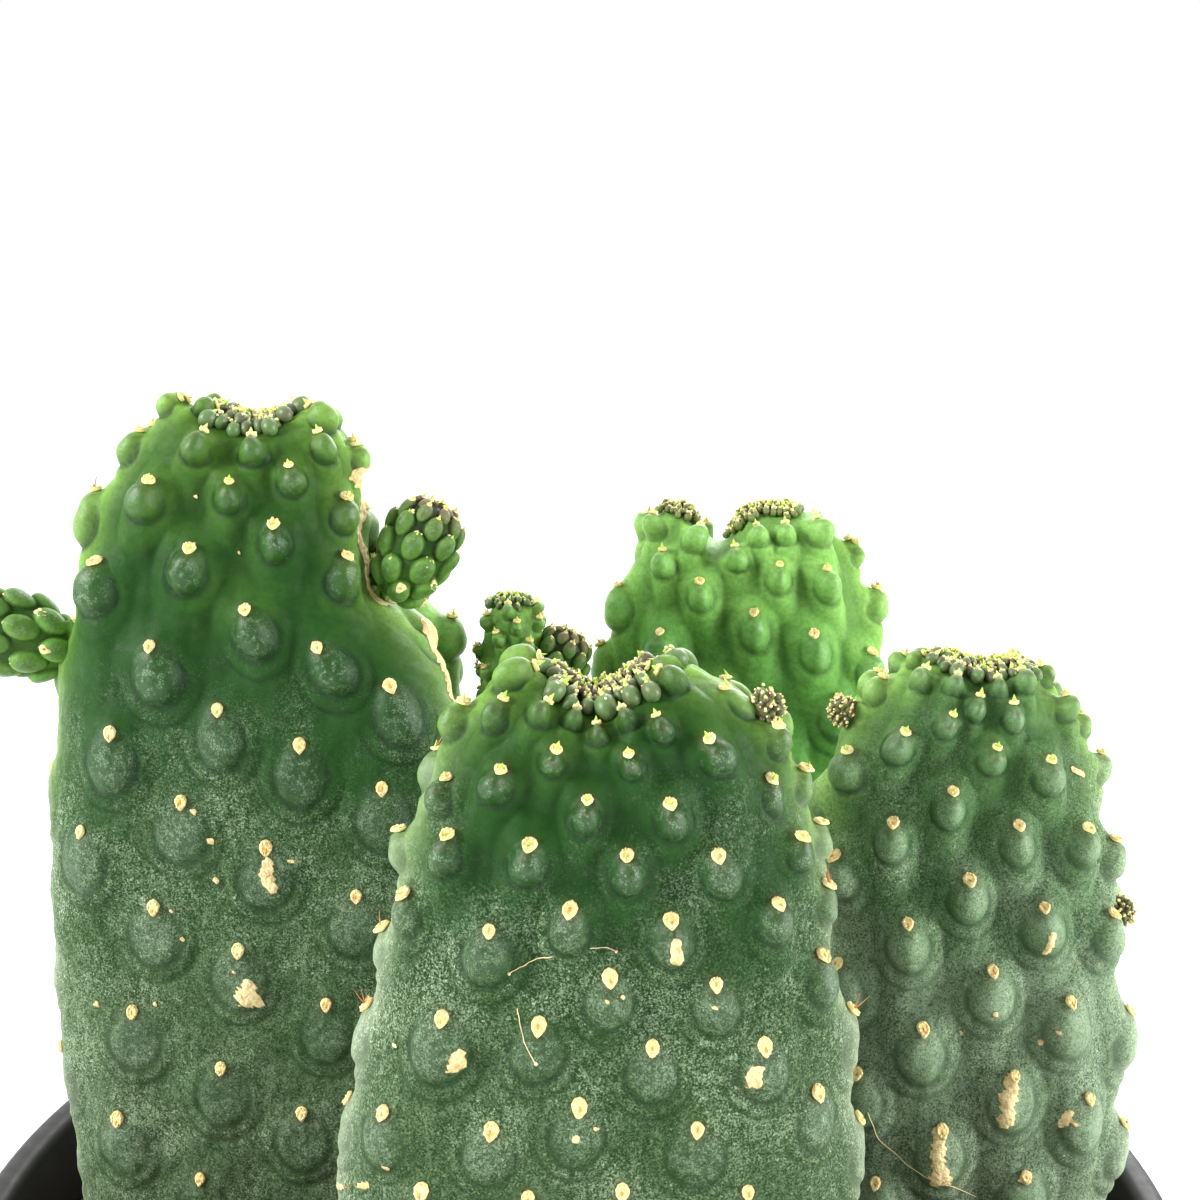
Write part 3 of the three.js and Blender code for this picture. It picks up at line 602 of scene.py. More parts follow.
def tubercles(key, plant):
    """Every full-sized tubercle of a paddle, with its place, its directions and its size."""
    paddle = PADDLES[key]
    rng = own_draws(plant, 0, PADDLES, key)
    seen = SEEN_AREOLES.get(key, [])
    turns, distances, shapes = [], [], []
    if seen:
        turns, distances = (list(values) for values in settled(paddle, seen))
        shapes = [(*pixel[2:], 1.0, 1.0)[:2] for pixel in seen]
        for turn, s, shape in list(zip(turns, distances, shapes)):
            if s < SHARED_TOP:
                turns.append((1 - turn + rng.normal(0, 0.01)) % 1)
                distances.append(s + rng.uniform(0, 1.2))
                shapes.append(shape)
    places = [body_point(paddle, turn, s)[0] for turn, s in zip(turns, distances)]
    row = paddle["crown_rows"]
    while row_distance(paddle, row) < face_length(paddle) - 2:
        s = row_distance(paddle, row)
        perimeter = float(body_point(paddle, 0.0, s)[1])
        cell = math.sqrt(perimeter / paddle["columns"] * (row_distance(paddle, row + 1) - s))
        cell = min(cell, WIDEST_CELL)
        shift = paddle["shift"] * (row - paddle["crown_rows"])
        for column in range(paddle["columns"]):
            turn = (column + paddle["phase"] + shift) / paddle["columns"]
            place = body_point(paddle, turn, s)[0]
            gap = min((np.linalg.norm(place - other) for other in places), default=99)
            if gap > LEAST_GAP * cell:
                turns.append(turn % 1)
                distances.append(s + rng.normal(0, 0.03) * cell)
                shapes.append((1.0, 1.0))
                places.append(place)
        row += 1
    turns, distances, places = np.array(turns), np.array(distances), np.array(places)
    apex, _ = apex_points(key)
    outward, downward = body_frame(paddle, turns, distances)
    tips = []
    for i, place in enumerate(places):
        gaps = np.sort(np.linalg.norm(places - place, axis=1))
        from_apex = np.linalg.norm(apex - place, axis=1)
        nearest = int(np.argmin(from_apex))
        away = place - apex[nearest]
        away = unit(away - outward[i] * (away @ outward[i]))
        weight = math.exp(-((from_apex[nearest] / APEX_PULL) ** 2))
        down = unit(weight * away + (1 - weight) * downward[i])
        tips.append(dict(
            turn=turns[i], s=distances[i], place=place, out=outward[i], down=down,
            side=np.cross(down, outward[i]), cell=float(np.clip(gaps[1:4].mean(), 2.6, 12)),
            young=1 - float(smooth(distances[i], *YOUNG_SKIN)),
            budlike=1 - float(smooth(from_apex[nearest], *BUDLIKE)),
            fold=paddle["fold"], old=paddle["old"], size=rng.uniform(0.93, 1.07),
            stretch=shapes[i][0], height=shapes[i][1]))
    return tips


def where(tips):
    """The turns and distances of tubercles."""
    return [tip["turn"] for tip in tips], [tip["s"] for tip in tips]


def egg_form(tip, across, down):
    """The egg of a tubercle: its form, the crease round its lower end, and how deep a point is."""
    cell, old, long_cell = tip["cell"], 1 - tip["young"], tip["cell"] * tip["stretch"]
    length = (0.32 + 0.05 * old) * long_cell
    width = (0.25 + 0.09 * tip["budlike"] + 0.03 * old) * cell * tip["size"]
    width = width * (0.76 + 0.24 * smooth(down / cell, -0.1, 0.4))
    radius = np.hypot(across / width, (down - length + 0.07 * cell) / length)
    lower = smooth(down / cell, 0.08, 0.46)
    egg = np.maximum(1 - radius ** 2.4, 0) ** (0.95 - 0.4 * lower)
    crease = np.exp(-(((radius - 1.07) * width / (0.12 * width + 0.07)) ** 2))
    return egg, crease * smooth(down / cell, 0.0, 0.3), np.clip(1.25 - radius, 0, 1)


def fold_form(tip, across, down):
    """The broad fold that carries the egg and runs down between its neighbours."""
    reach = down / (1.5 * tip["cell"] * tip["stretch"])
    half_width = tip["cell"] * (0.5 - 0.16 * np.clip(reach, 0, 1))
    return (np.maximum(1 - (across / half_width) ** 2, 0) ** 1.3
            * smooth(reach, -0.34, 0.1) * (1 - smooth(reach, 0.3, 1.0)))


def apron_form(tip, across, down):
    """The low step below an older egg, and the wider crease round it."""
    cell, old, long_cell = tip["cell"], 1 - tip["young"], tip["cell"] * tip["stretch"]
    radius = np.hypot(across / (0.45 * cell), (down - 0.36 * long_cell) / (0.5 * long_cell))
    crease = np.exp(-(((radius - 1) / 0.06) ** 2)) * smooth(down / cell, 0.25, 0.6)
    crease = crease * (1 - tip["budlike"]) * smooth(old, 0.1, 0.5)
    return np.maximum(1 - radius ** 4, 0) ** 0.5 * old, crease


def relief(points, tips):
    """Height of the tubercles, and how far each point is egg, painted crease shade and areole ring.
    """
    shape = points.shape[:-1]
    points = points.reshape(-1, 3)
    height, egg_share, groove, ring = (np.zeros(len(points)) for _ in range(4))
    for tip in tips:
        cell, young = tip["cell"], tip["young"]
        offset = points - tip["place"]
        near = np.nonzero((offset ** 2).sum(-1) < (1.8 * cell * tip["stretch"]) ** 2)[0]
        offset = offset[near]
        across, down = offset @ tip["side"], offset @ tip["down"]
        # Offsets are stretched to the length that they have along the curved skin.
        flat = np.maximum(np.hypot(across, down), 1e-6)
        chord = np.hypot(flat, offset @ tip["out"]) / flat
        across, down = across * chord, down * chord
        egg, crease, depth = egg_form(tip, across, down)
        step, apron_crease = apron_form(tip, across, down)
        strength = (tip["old"] + (1 - tip["old"]) * young) * tip["height"]
        egg_height = (EGG_HEIGHT + BUD_GAIN * tip["budlike"]) * cell * strength * tip["size"]
        high = (egg_height * egg + tip["fold"] * cell * strength * fold_form(tip, across, down)
                + STEP_HEIGHT * cell * step - CREASE_DEPTH * (0.55 + 0.45 * young) * crease
                - APRON_CREASE_DEPTH * apron_crease)
        height[near] = np.maximum(height[near], high)
        egg_share[near] = np.maximum(egg_share[near], depth)
        groove[near] = np.maximum(groove[near], np.maximum(crease, 0.85 * apron_crease))
        areole = np.hypot(across / 0.85, (down - 0.1) / 1.15)
        ring[near] = np.maximum(ring[near], np.exp(-(((areole - 1) / 0.25) ** 2)))
    layers = (egg_share, groove, ring, height)
    return height.reshape(shape), [values.reshape(shape) for values in layers]


def unevenness(points):
    """Soft swells and hollows of the flesh, in mm."""
    x, y, z = points[..., 0], points[..., 1], points[..., 2]
    return 0.3 * (np.sin(0.31 * x + 0.17 * z + 1) * np.sin(0.23 * z - 0.2 * y)
                  + 0.6 * np.sin(0.62 * x - 0.4 * z + 2) * np.sin(0.5 * z + 0.3 * y)
                  + 0.25 * np.sin(1.5 * x + z) * np.sin(1.3 * z - 0.9 * x + y))


def paddle_surface(paddle, turn, s, tips):
    """Points of the finished skin, the body's outward directions and the colour layers."""
    turn, s = np.broadcast_arrays(np.asarray(turn, float), np.asarray(s, float))
    points = body_point(paddle, turn, s)[0]
    outward, downward = body_frame(paddle, turn, s)
    height, layers = relief(points, tips)
    height = height * (1 - smooth(s, face_length(paddle) - 4, face_length(paddle) + 4))
    swell = unevenness(points) * smooth(s, 2, 12) - paddle["inset"] * (1 - smooth(s, 24, 70))
    points = points + outward * (height + swell)[..., None] - downward * (0.2 * height)[..., None]
    return points, outward, layers


def stroke_distance(points, ends, widths):
    """Least distance of each point to a stroke, as a share of the stroke's half width there."""
    best = np.full(points.shape[:-1], 1e9)
    for i in range(max(len(ends) - 1, 1)):
        j = min(i + 1, len(ends) - 1)
        way = ends[j] - ends[i]
        t = np.clip(((points - ends[i]) @ way) / max(float(way @ way), 1e-9), 0, 1)
        gap = np.linalg.norm(points - ends[i] - t[..., None] * way, axis=-1)
        best = np.minimum(best, gap / (widths[i] + (widths[j] - widths[i]) * t))
    return best


def cork_layer(key, points):
    """1 inside a scar and 0 away from it, with ragged borders."""
    paddle = PADDLES[key]
    x, z = points[..., 0], points[..., 2]
    ragged = 0.17 * (np.sin(2.9 * x + 1.7 * z) + np.sin(4.3 * z - 2.1 * x)
                     + np.sin(7.1 * z + 5.3 * x))
    cork = np.zeros(points.shape[:-1])
    for stroke in SCARS.get(key, []):
        ends = body_point(paddle, *settled(paddle, stroke))[0]
        share = stroke_distance(points, ends, [pixel[2] for pixel in stroke])
        size = min(max(pixel[2] for pixel in stroke), 1.0)
        cork = np.maximum(cork, smooth(1.5 - share + ragged * size, 0, 1))
    return cork


# ---------------------------------------------------------------- materials

def new_material(name):
    """A material with its node tree and its shader."""
    material = bpy.data.materials.new(name)
    material.use_nodes = True
    tree = material.node_tree
    return material, tree, tree.nodes["Principled BSDF"]


def node(tree, kind, values=None, **settings):
    """A shader node with its settings, and its inputs linked to a socket or set to a value."""
    made = tree.nodes.new(kind)
    for key, value in settings.items():
        setattr(made, key, value)
    for key, value in (values or {}).items():
        if isinstance(value, bpy.types.NodeSocket):
            tree.links.new(value, made.inputs[key])
        else:
            made.inputs[key].default_value = value
    return made


def maths(tree, operation, a, b=0.0, clamp=False):
    return node(tree, "ShaderNodeMath", {0: a, 1: b}, operation=operation,
                use_clamp=clamp).outputs[0]


def plus(tree, a, b, clamp=False):
    return maths(tree, "ADD", a, b, clamp)


def times(tree, value, *others, clamp=False):
    """The product of all the values."""
    for other in others:
        value = maths(tree, "MULTIPLY", value, other, clamp)
    return value


def without(tree, value, other, share):
    """The value where the other is 0, and less of it by that share where the other is 1."""
    return times(tree, value, maths(tree, "SUBTRACT", 1.0, times(tree, other, share)))


def mix(tree, share, a, b):
    return node(tree, "ShaderNodeMix", {"Factor": share, 6: a, 7: b},
                data_type="RGBA").outputs[2]


def place_of(tree):
    """A point's own place, in metres."""
    return node(tree, "ShaderNodeTexCoord").outputs["Object"]


def layer(tree, name):
    """A number that the mesh's vertices carry."""
    return node(tree, "ShaderNodeAttribute", attribute_name=name).outputs["Fac"]


def noise(tree, size, detail=3.0, roughness=0.55, stretch=(1, 1, 1)):
    """Noise whose patches are about size metres across."""
    place = node(tree, "ShaderNodeMapping",
                 {"Vector": place_of(tree), "Scale": stretch}).outputs[0]
    return node(tree, "ShaderNodeTexNoise", {"Vector": place, "Scale": 1 / size,
                "Detail": detail, "Roughness": roughness}).outputs["Fac"]


def span(tree, value, low, high, to_low=0.0, to_high=1.0):
    """A soft step from to_low to to_high as the value runs from low to high."""
    return node(tree, "ShaderNodeMapRange", {"Value": value, "From Min": low, "From Max": high,
                "To Min": to_low, "To Max": to_high}, clamp=True,
                interpolation_type="SMOOTHSTEP").outputs[0]


def ramp(tree, value, stops):
    """A colour that runs through the stops (value, colour)."""
    made = node(tree, "ShaderNodeValToRGB", {"Fac": value})
    elements = made.color_ramp.elements
    while len(elements) < len(stops):
        elements.new(0.5)
    for element, (place, colour) in zip(elements, stops):
        element.position = place
        element.color = colour
    return made.outputs["Color"]


def bump(tree, height, strength, distance, normal=None):
    values = {"Height": height, "Strength": strength, "Distance": distance}
    if normal is not None:
        values["Normal"] = normal
    return node(tree, "ShaderNodeBump", values).outputs[0]


def glow_through(shader, share, radius, scale):
    """Lets light pass into a finish, for each colour as far as its radius gives."""
    shader.inputs["Subsurface Weight"].default_value = share
    shader.inputs["Subsurface Radius"].default_value = radius
    shader.inputs["Subsurface Scale"].default_value = scale


def skin_greens(tree, plant, zone, greens, egg_green, crease):
    """Green under the wax, with painted rim light at edges and painted shade in creases and
    hollows.
    """
    edge, egg = layer(tree, "edge"), layer(tree, "egg")
    green = ramp(tree, zone, greens)
    # Painted rim light: the edges are painted a paler green, most strongly near the crest.
    lit_edge = times(tree, edge, span(tree, zone, 0.2, 0.7, 0.75, 0.0))
    green = mix(tree, lit_edge, green, rgb(146, 192, 90))
    fresh_egg = times(tree, egg, span(tree, zone, 0.12, 0.5, 0.15, 0.5))
    green = mix(tree, fresh_egg, green, egg_green or plant.deep_green)
    # Painted shade: the creases round the eggs are painted a dark green, most strongly near the
    # crest.
    crease_shade_strength = span(tree, zone, 0.2, 0.8, 0.85 * crease, 0.6 * crease)
    green = mix(tree, times(tree, layer(tree, "groove"), crease_shade_strength), green, rgb(16, 42, 16))
    # Painted shade: the valleys between the folds and the skin round the crown are painted darker.
    green = mix(tree, times(tree, layer(tree, "hollow"), 0.5), green, rgb(14, 50, 14))
    mottle = span(tree, noise(tree, 0.0007, 4, 0.7), 0.42, 0.62, 0.0, 0.22)
    return mix(tree, mottle, green, rgb(20, 48, 16))


def waxed_skin(tree, plant, zone, green, grain, age, streak):
    """The green under a fine fibrous grain of wax, in broad clouds with bright specks."""
    edge = layer(tree, "edge")
    dark = times(tree, span(tree, grain, 0.5, 0.42), age)
    green = mix(tree, times(tree, dark, 0.62), green, rgb(16, 38, 14))
    cloud = span(tree, noise(tree, 0.008, 5, 0.62, streak), 0.4, 0.64, 0.35, 1.0)
    # Painted rim light: the clouds of pale wax are fuller towards the edges.
    cloud = plus(tree, cloud, times(tree, edge, 0.8))
    pale = times(tree, span(tree, grain, 0.47, 0.58), age, cloud, clamp=True)
    green = mix(tree, times(tree, pale, 0.64), green, plant.bloom)
    # Painted rim light: a pale frost on the edges, stronger lower down the face.
    painted_rim_light = times(tree, maths(tree, "POWER", edge, 2.0), span(tree, zone, 0.3, 0.6, 0.0, 0.36))
    green = mix(tree, painted_rim_light, green, rgb(196, 210, 178))
    specks = span(tree, noise(tree, 0.0005, 2, 0.7), 0.62, 0.7)
    specks = times(tree, specks, age, cloud, clamp=True)
    return mix(tree, times(tree, specks, 0.35), green, rgb(200, 214, 190))


def skin_marks(tree, plant, green, fleck, cork):
    """The skin with its silvery flecks, brown rings round the areoles, and bordered cork."""
    green = mix(tree, fleck, green, rgb(136, 164, 128))
    green = mix(tree, times(tree, layer(tree, "ring"), 0.4), green, rgb(70, 62, 30))
    tint = span(tree, noise(tree, 0.0009, 5, 0.7), 0.46, 0.66)
    border = mix(tree, span(tree, cork, 0.4, 0.48), rgb(132, 96, 50),
                 mix(tree, tint, plant.cork, rgb(198, 168, 110)))
    return mix(tree, span(tree, cork, 0.32, 0.42), green, border)


def skin_bumps(tree, grain, fleck, cork):
    """The fine relief: wrinkles, pores, flakes of wax and crusted cork."""
    wrinkles = bump(tree, noise(tree, 0.0024, 4, 0.65), 0.3, 0.0004)
    pores = bump(tree, grain, 0.5, 0.00016, wrinkles)
    flakes = bump(tree, fleck, 0.5, 0.00006, pores)
    crust = times(tree, cork, span(tree, noise(tree, 0.0006, 4), 0.3, 0.7, 0.5, 1.0))
    return bump(tree, crust, 0.8, 0.0004, flakes)


def skin_material(name, plant, greens, bloom=1.0, waxed=(0.32, 0.7), egg_green=None, crease=1.0,
                  streak=(1, 1, 1)):
    """Waxy green skin. greens are its colours from the crest down, and bloom its share of wax.

    waxed is where the wax begins and is full, egg_green the colour of the eggs, crease how dark
    the painted shade in the creases is, and streak how the clouds of wax are drawn out.
    """
    material, tree, shader = new_material(name)
    egg, cork = layer(tree, "egg"), layer(tree, "cork")
    zone = plus(tree, layer(tree, "zone"),
                span(tree, noise(tree, 0.016, 5, 0.6), 0.3, 0.7, -0.1, 0.1), clamp=True)
    age = times(tree, span(tree, zone, *waxed), bloom)
    # The pale wax is thinned on the eggs and kept out of the creases, which adds to the painted
    # shade there.
    age = without(tree, without(tree, age, egg, 0.35), layer(tree, "groove"), 0.85)
    grain = plus(tree, times(tree, noise(tree, 0.00025, 4, 0.75), 0.74),
                 times(tree, noise(tree, 0.0008, 4, 0.7, (1, 1, 0.6)), 0.26))
    flake = node(tree, "ShaderNodeTexVoronoi", {"Vector": place_of(tree), "Scale": 2600.0},
                 feature="DISTANCE_TO_EDGE").outputs["Distance"]
    fleck = times(tree, span(tree, flake, 0.06, 0.16),
                  span(tree, noise(tree, 0.0009, 3), 0.5, 0.58),
                  egg, span(tree, zone, 0.12, 0.34, 0.0, 0.45))
    green = skin_greens(tree, plant, zone, greens, egg_green, crease)
    green = waxed_skin(tree, plant, zone, green, grain, age, streak)
    green = skin_marks(tree, plant, green, fleck, cork)
    rough = plus(tree, span(tree, noise(tree, 0.0009, 3), 0.3, 0.7, 0.36, 0.56),
                 times(tree, cork, 0.3))
    rough = maths(tree, "SUBTRACT", rough, times(tree, egg, 0.14))
    tree.links.new(green, shader.inputs["Base Color"])
    tree.links.new(plus(tree, rough, times(tree, age, 0.2)), shader.inputs["Roughness"])
    tree.links.new(skin_bumps(tree, grain, fleck, cork), shader.inputs["Normal"])
    tree.links.new(plus(tree, times(tree, egg, 0.32), 0.1), shader.inputs["Specular IOR Level"])
    glow_through(shader, 0.08, (0.5, 1.0, 0.25), 0.001)
    return material


def shaded_material(name, first, second, rough, grain, depth, glow=0.0):
    """A finish that runs between two colours by each copy's own shade and by a fine noise."""
    material, tree, shader = new_material(name)
    share = plus(tree, times(tree, layer(tree, "shade"), 0.6),
                 span(tree, noise(tree, grain, 3, 0.65), 0.3, 0.7, -0.1, 0.5), clamp=True)
    tree.links.new(mix(tree, share, first, second), shader.inputs["Base Color"])
    shader.inputs["Roughness"].default_value = rough
    tree.links.new(bump(tree, noise(tree, grain * 0.6, 4, 0.7), 0.7, depth),
                   shader.inputs["Normal"])
    if glow:
        glow_through(shader, glow, (1.0, 0.9, 0.5), 0.0006)
    return material


def plastic_material(pots):
    """Near-black moulded plastic with dust in its scuffs."""
    material, tree, shader = new_material("scuffed_plastic")
    scuff = span(tree, noise(tree, 0.012, 6, 0.7, (1, 1, 0.35)), 0.55, 0.75)
    dust = times(tree, scuff, span(tree, noise(tree, 0.0008, 3, 0.7), 0.4, 0.7))
    colour = mix(tree, times(tree, dust, 0.16), pots.plastic, pots.dust)
    rough = plus(tree, span(tree, noise(tree, 0.002, 4), 0.3, 0.7, 0.38, 0.5),
                 times(tree, dust, 0.25))
    tree.links.new(colour, shader.inputs["Base Color"])
    tree.links.new(rough, shader.inputs["Roughness"])
    tree.links.new(bump(tree, noise(tree, 0.0006, 2), 0.25, 0.00005), shader.inputs["Normal"])
    shader.inputs["Specular IOR Level"].default_value = 0.25
    return material


def peat_material(pots):
    """Dark crumbly peat."""
    material, tree, shader = new_material("peat_mix")
    crumbs = noise(tree, 0.0016, 6, 0.72)
    colour = ramp(tree, crumbs, [(0.3, rgb(22, 15, 11)), (0.5, pots.peat), (0.66, pots.bark),
                                 (0.78, rgb(142, 112, 82))])
    tree.links.new(colour, shader.inputs["Base Color"])
    shader.inputs["Roughness"].default_value = 0.92
    tree.links.new(bump(tree, crumbs, 0.9, 0.0008), shader.inputs["Normal"])
    return material


# ---------------------------------------------------------------- pieces of the plant

def ring_distances(paddle):
    """Distances of the skin's rings: close together on the crest, and few below the soil."""
    _, spacing = paddle["grid"]
    crest = np.arange(0, paddle["dome"], CREST_SPACING)
    face = np.arange(paddle["dome"], face_length(paddle) + 2, spacing)
    foot = face_length(paddle) + FOOT_DEPTH * np.array([0.2, 0.4, 0.6, 0.75, 0.88, 0.96, 1])
    return np.concatenate([crest, face, foot])


def make_skin(key, plant, material):
    """The whole skin of a paddle, with what its finish reads at each vertex."""
    paddle = PADDLES[key]
    sides, _ = paddle["grid"]
    turn = (np.arange(sides + 1) / sides)[None, :]
    s = ring_distances(paddle)[:, None]
    turn, s = np.broadcast_arrays(turn, s)
    points, outward, layers = paddle_surface(paddle, turn, s, tubercles(key, plant))
    egg, groove, ring, height = layers
    # The first ring is the crest line, where the two faces meet: both sides share its points.
    points[0] = (points[0] + points[0, ::-1]) / 2
    cork = cork_layer(key, body_point(paddle, turn, s)[0])
    points = points + outward * (CORK_HEIGHT * cork)[..., None]
    points[:, -1] = points[:, 0]
    perimeter = body_point(paddle, turn, s)[1]
    # The edge layer marks painted rim light: the finish paints the skin paler towards a paddle's
    # edges.
    from_edge = (0.5 - np.abs((turn * 2) % 1 - 0.5)) * perimeter / 2
    edge = np.exp(-((from_edge / RIM_LIGHT_WIDTH) ** 2))
    # Painted shade: valleys between folds, and the skin round the crown, get a deeper green.
    hollow = np.exp(-np.maximum(height, 0) / 0.5) * (1 - smooth(s, 26, 60)) * smooth(s, 0, 6)
    crest = points[:CREST_RINGS, :, None]
    from_apex = np.linalg.norm(crest - apex_points(key)[0], axis=-1).min(-1)
    hollow[:CREST_RINGS] = np.maximum(hollow[:CREST_RINGS], np.exp(-((from_apex / 5.5) ** 2)))
    zone = np.clip(s / OLD_SKIN + paddle["tone"] * smooth(s, -4, 14), 0, 1)
    piece = shaped_grid("skin_" + key, points, egg=egg, groove=groove, ring=ring, cork=cork,
                        zone=zone, edge=edge, hollow=hollow)
    return finish_piece(piece, material, "cactus_skin", paddle["node"])


FRAME_STEP = 0.35   # reach of the four points round a place that give its outward direction


def skin_frames(paddle, turns, distances, tips):
    """Place, outward direction and upward direction on the finished skin, in mm."""
    turns, distances = np.array(turns, float), np.array(distances, float)
    step = FRAME_STEP
    perimeter = np.maximum(body_point(paddle, turns, distances)[1], 1)
    here = paddle_surface(paddle, turns, distances, tips)[0]
    below = paddle_surface(paddle, turns, distances + step, tips)[0]
    above = paddle_surface(paddle, turns, np.maximum(distances - step, 0.01), tips)[0]
    left = paddle_surface(paddle, turns - step / perimeter, distances, tips)[0]
    right = paddle_surface(paddle, turns + step / perimeter, distances, tips)[0]
    return here, unit(np.cross(below - above, right - left)), above - below


def sphere_pattern(subdivisions):
    """A ball 1 mm across."""
    deselect_all()
    bpy.ops.mesh.primitive_ico_sphere_add(subdivisions=subdivisions, radius=0.5 * MM)
    return bpy.context.active_object


def wool_pattern():
    """A drop-shaped cushion 1 mm wide with its narrow end down and its middle sunk a little."""
    pattern = sphere_pattern(2)
    for vertex in pattern.data.vertices:
        x, y, z = vertex.co / (0.5 * MM)
        narrow = 1 - 0.45 * smooth(-y, -0.2, 1.0)
        hollow = math.exp(-((math.hypot(x, y + 0.1) / 0.5) ** 2))
        rise = z * 0.4 - (0.14 * hollow if z > 0 else 0)
        vertex.co = Vector((x * narrow, y * 1.15 - 0.12, rise)) * 0.5 * MM
    return pattern


def leaf_pattern():
    """A short curved awl leaf 1 mm long, thick at its foot."""
    deselect_all()
    bpy.ops.mesh.primitive_cone_add(vertices=6, radius1=0.34 * MM, radius2=0.02 * MM,
                                    depth=1 * MM, location=(0, 0, 0.5 * MM))
    pattern = bpy.context.active_object
    bpy.ops.object.transform_apply(location=True)
    edit_all(lambda: bpy.ops.mesh.subdivide(number_cuts=1))
    for vertex in pattern.data.vertices:
        part = vertex.co.z / MM
        swell = 1 + 0.45 * math.sin(math.pi * min(part * 1.3, 1))
        vertex.co.x *= swell
        vertex.co.y = vertex.co.y * swell * 0.8 + 0.2 * MM * part * part
    return pattern


TUFTS = 12   # lumps of wool round one areole


def make_areoles(key, plant, wool_finish, leaf_finish):
    """Woolly areoles on every tubercle, with an awl leaf in each young one."""
    paddle = PADDLES[key]
    tips = tubercles(key, plant)
    rng = own_draws(plant, 100, PADDLES, key)
    places, outward, _ = skin_frames(paddle, *where(tips), tips)
    cushion, crumb, leaf = wool_pattern(), sphere_pattern(1), leaf_pattern()
    width = plant.areole_width / MM
    cushions, tints, crumbs, shades, leaves = [], [], [], [], []
    for tip, place, out in zip(tips, places, outward):
        up = -tip["down"]
        out = out + 0.12 * up * tip["young"]
        size = width * rng.uniform(0.88, 1.12) * min(0.6 + 0.4 * tip["cell"] / 7, 1.05)
        fresh = 1 - float(smooth(tip["s"], 12, 26))
        base = frame_matrix(place + 0.1 * out + 0.1 * size * up, out, up,
                            (size * (1 - 0.05 * fresh), size * (1.12 - 0.16 * fresh), size))
        cushions.append(base)
        tints.append(rng.uniform(-0.1, 0.4))
        for number in range(TUFTS):
            # A horseshoe of tufts, open at its lower end on the young ones.
            angle = math.pi * (0.5 + (1 - 0.35 * fresh) * (2 * (number + 0.5) / TUFTS - 1))
            angle += rng.uniform(-0.12, 0.12)
            rim = rng.uniform(0.3, 0.38)
            narrow = 1 - 0.35 * max(-math.sin(angle), 0)
            spot = Vector((rim * math.cos(angle) * narrow, 1.15 * rim * math.sin(angle) - 0.05,
                           rng.uniform(0.1, 0.17))) * MM
            lump = rng.uniform(0.13, 0.24)
            crumbs.append(base @ Matrix.Translation(spot)
                          @ Matrix.Diagonal((lump, lump * 1.3, lump * 0.8, 1)))
            shades.append(rng.uniform(-0.4, 0.15))
        if fresh < 0.7:
            middle = Vector((rng.uniform(-0.05, 0.05), rng.uniform(-0.3, -0.02), 0.1)) * MM
            crumbs.append(base @ Matrix.Translation(middle)
                          @ Matrix.Diagonal((0.24, 0.42, 0.2, 1)))
            shades.append(rng.uniform(1.0, 1.6))
        if fresh > 0.05:
            length = 0.85 * size * rng.uniform(0.9, 1.1) * (0.55 + 0.45 * fresh)
            way = 0.6 * out + up + rng.normal(0, 0.05, 3)
            foot = place + (0.1 + 0.2 * size) * out - 0.34 * size * up
            leaves.append(frame_matrix(foot, way, out, (0.85 * size, 0.5 * size, length)))
    wool = [stamp(cushion, cushions, "cushions", rng, 0.03, tints),
            stamp(crumb, crumbs, "crumbs", rng, 0.12, shades)]
    finish_piece(join_pieces("areoles_" + key, wool), wool_finish, "cactus_skin")
    for pattern in (cushion, crumb):
        bpy.data.objects.remove(pattern)
    cover("cactus_skin", rng, [("leaves_" + key, leaf, leaves, 0.0, (0, 0.8), leaf_finish)])


BEAD_TRIALS = 9000   # random places that are tried for the beads of a crown


def crest_beads(key, tips, rng):
    """Beads round the apex, packed close.

    Gives their places, their outward directions and those to the apex, radii and distances.
    """
    paddle = PADDLES[key]
    apex, reach = apex_points(key)
    turn, s = rng.random(BEAD_TRIALS), rng.uniform(0.15, 9, BEAD_TRIALS)
    places = body_point(paddle, turn, s)[0]
    gaps = np.linalg.norm(places[:, None] - apex[None], axis=-1)
    nearest = gaps.argmin(1)
    distance = gaps[np.arange(len(gaps)), nearest]
    order = [i for i in np.argsort(distance + rng.normal(0, 0.35, len(distance)))
             if distance[i] < reach[nearest[i]] + rng.normal(0, 0.4)]
    chosen = []
    for i in order:
        radius = APEXES[key][0][3] * (0.26 + 0.17 * distance[i]) * rng.uniform(0.8, 1.2)
        if any(np.linalg.norm(places[i] - tip["place"]) < 0.75 * radius + 0.28 * tip["cell"]
               for tip in tips):
            continue
        if any(np.linalg.norm(places[i] - places[j]) < 0.84 * (radius + other)
               for j, other in chosen):
            continue
        chosen.append((i, radius))
    index = [i for i, _ in chosen]
    outward = body_frame(paddle, turn[index], s[index])[0]
    toward = apex[nearest[index]] - places[index]
    return places[index], outward, toward, [radius for _, radius in chosen], distance[index]


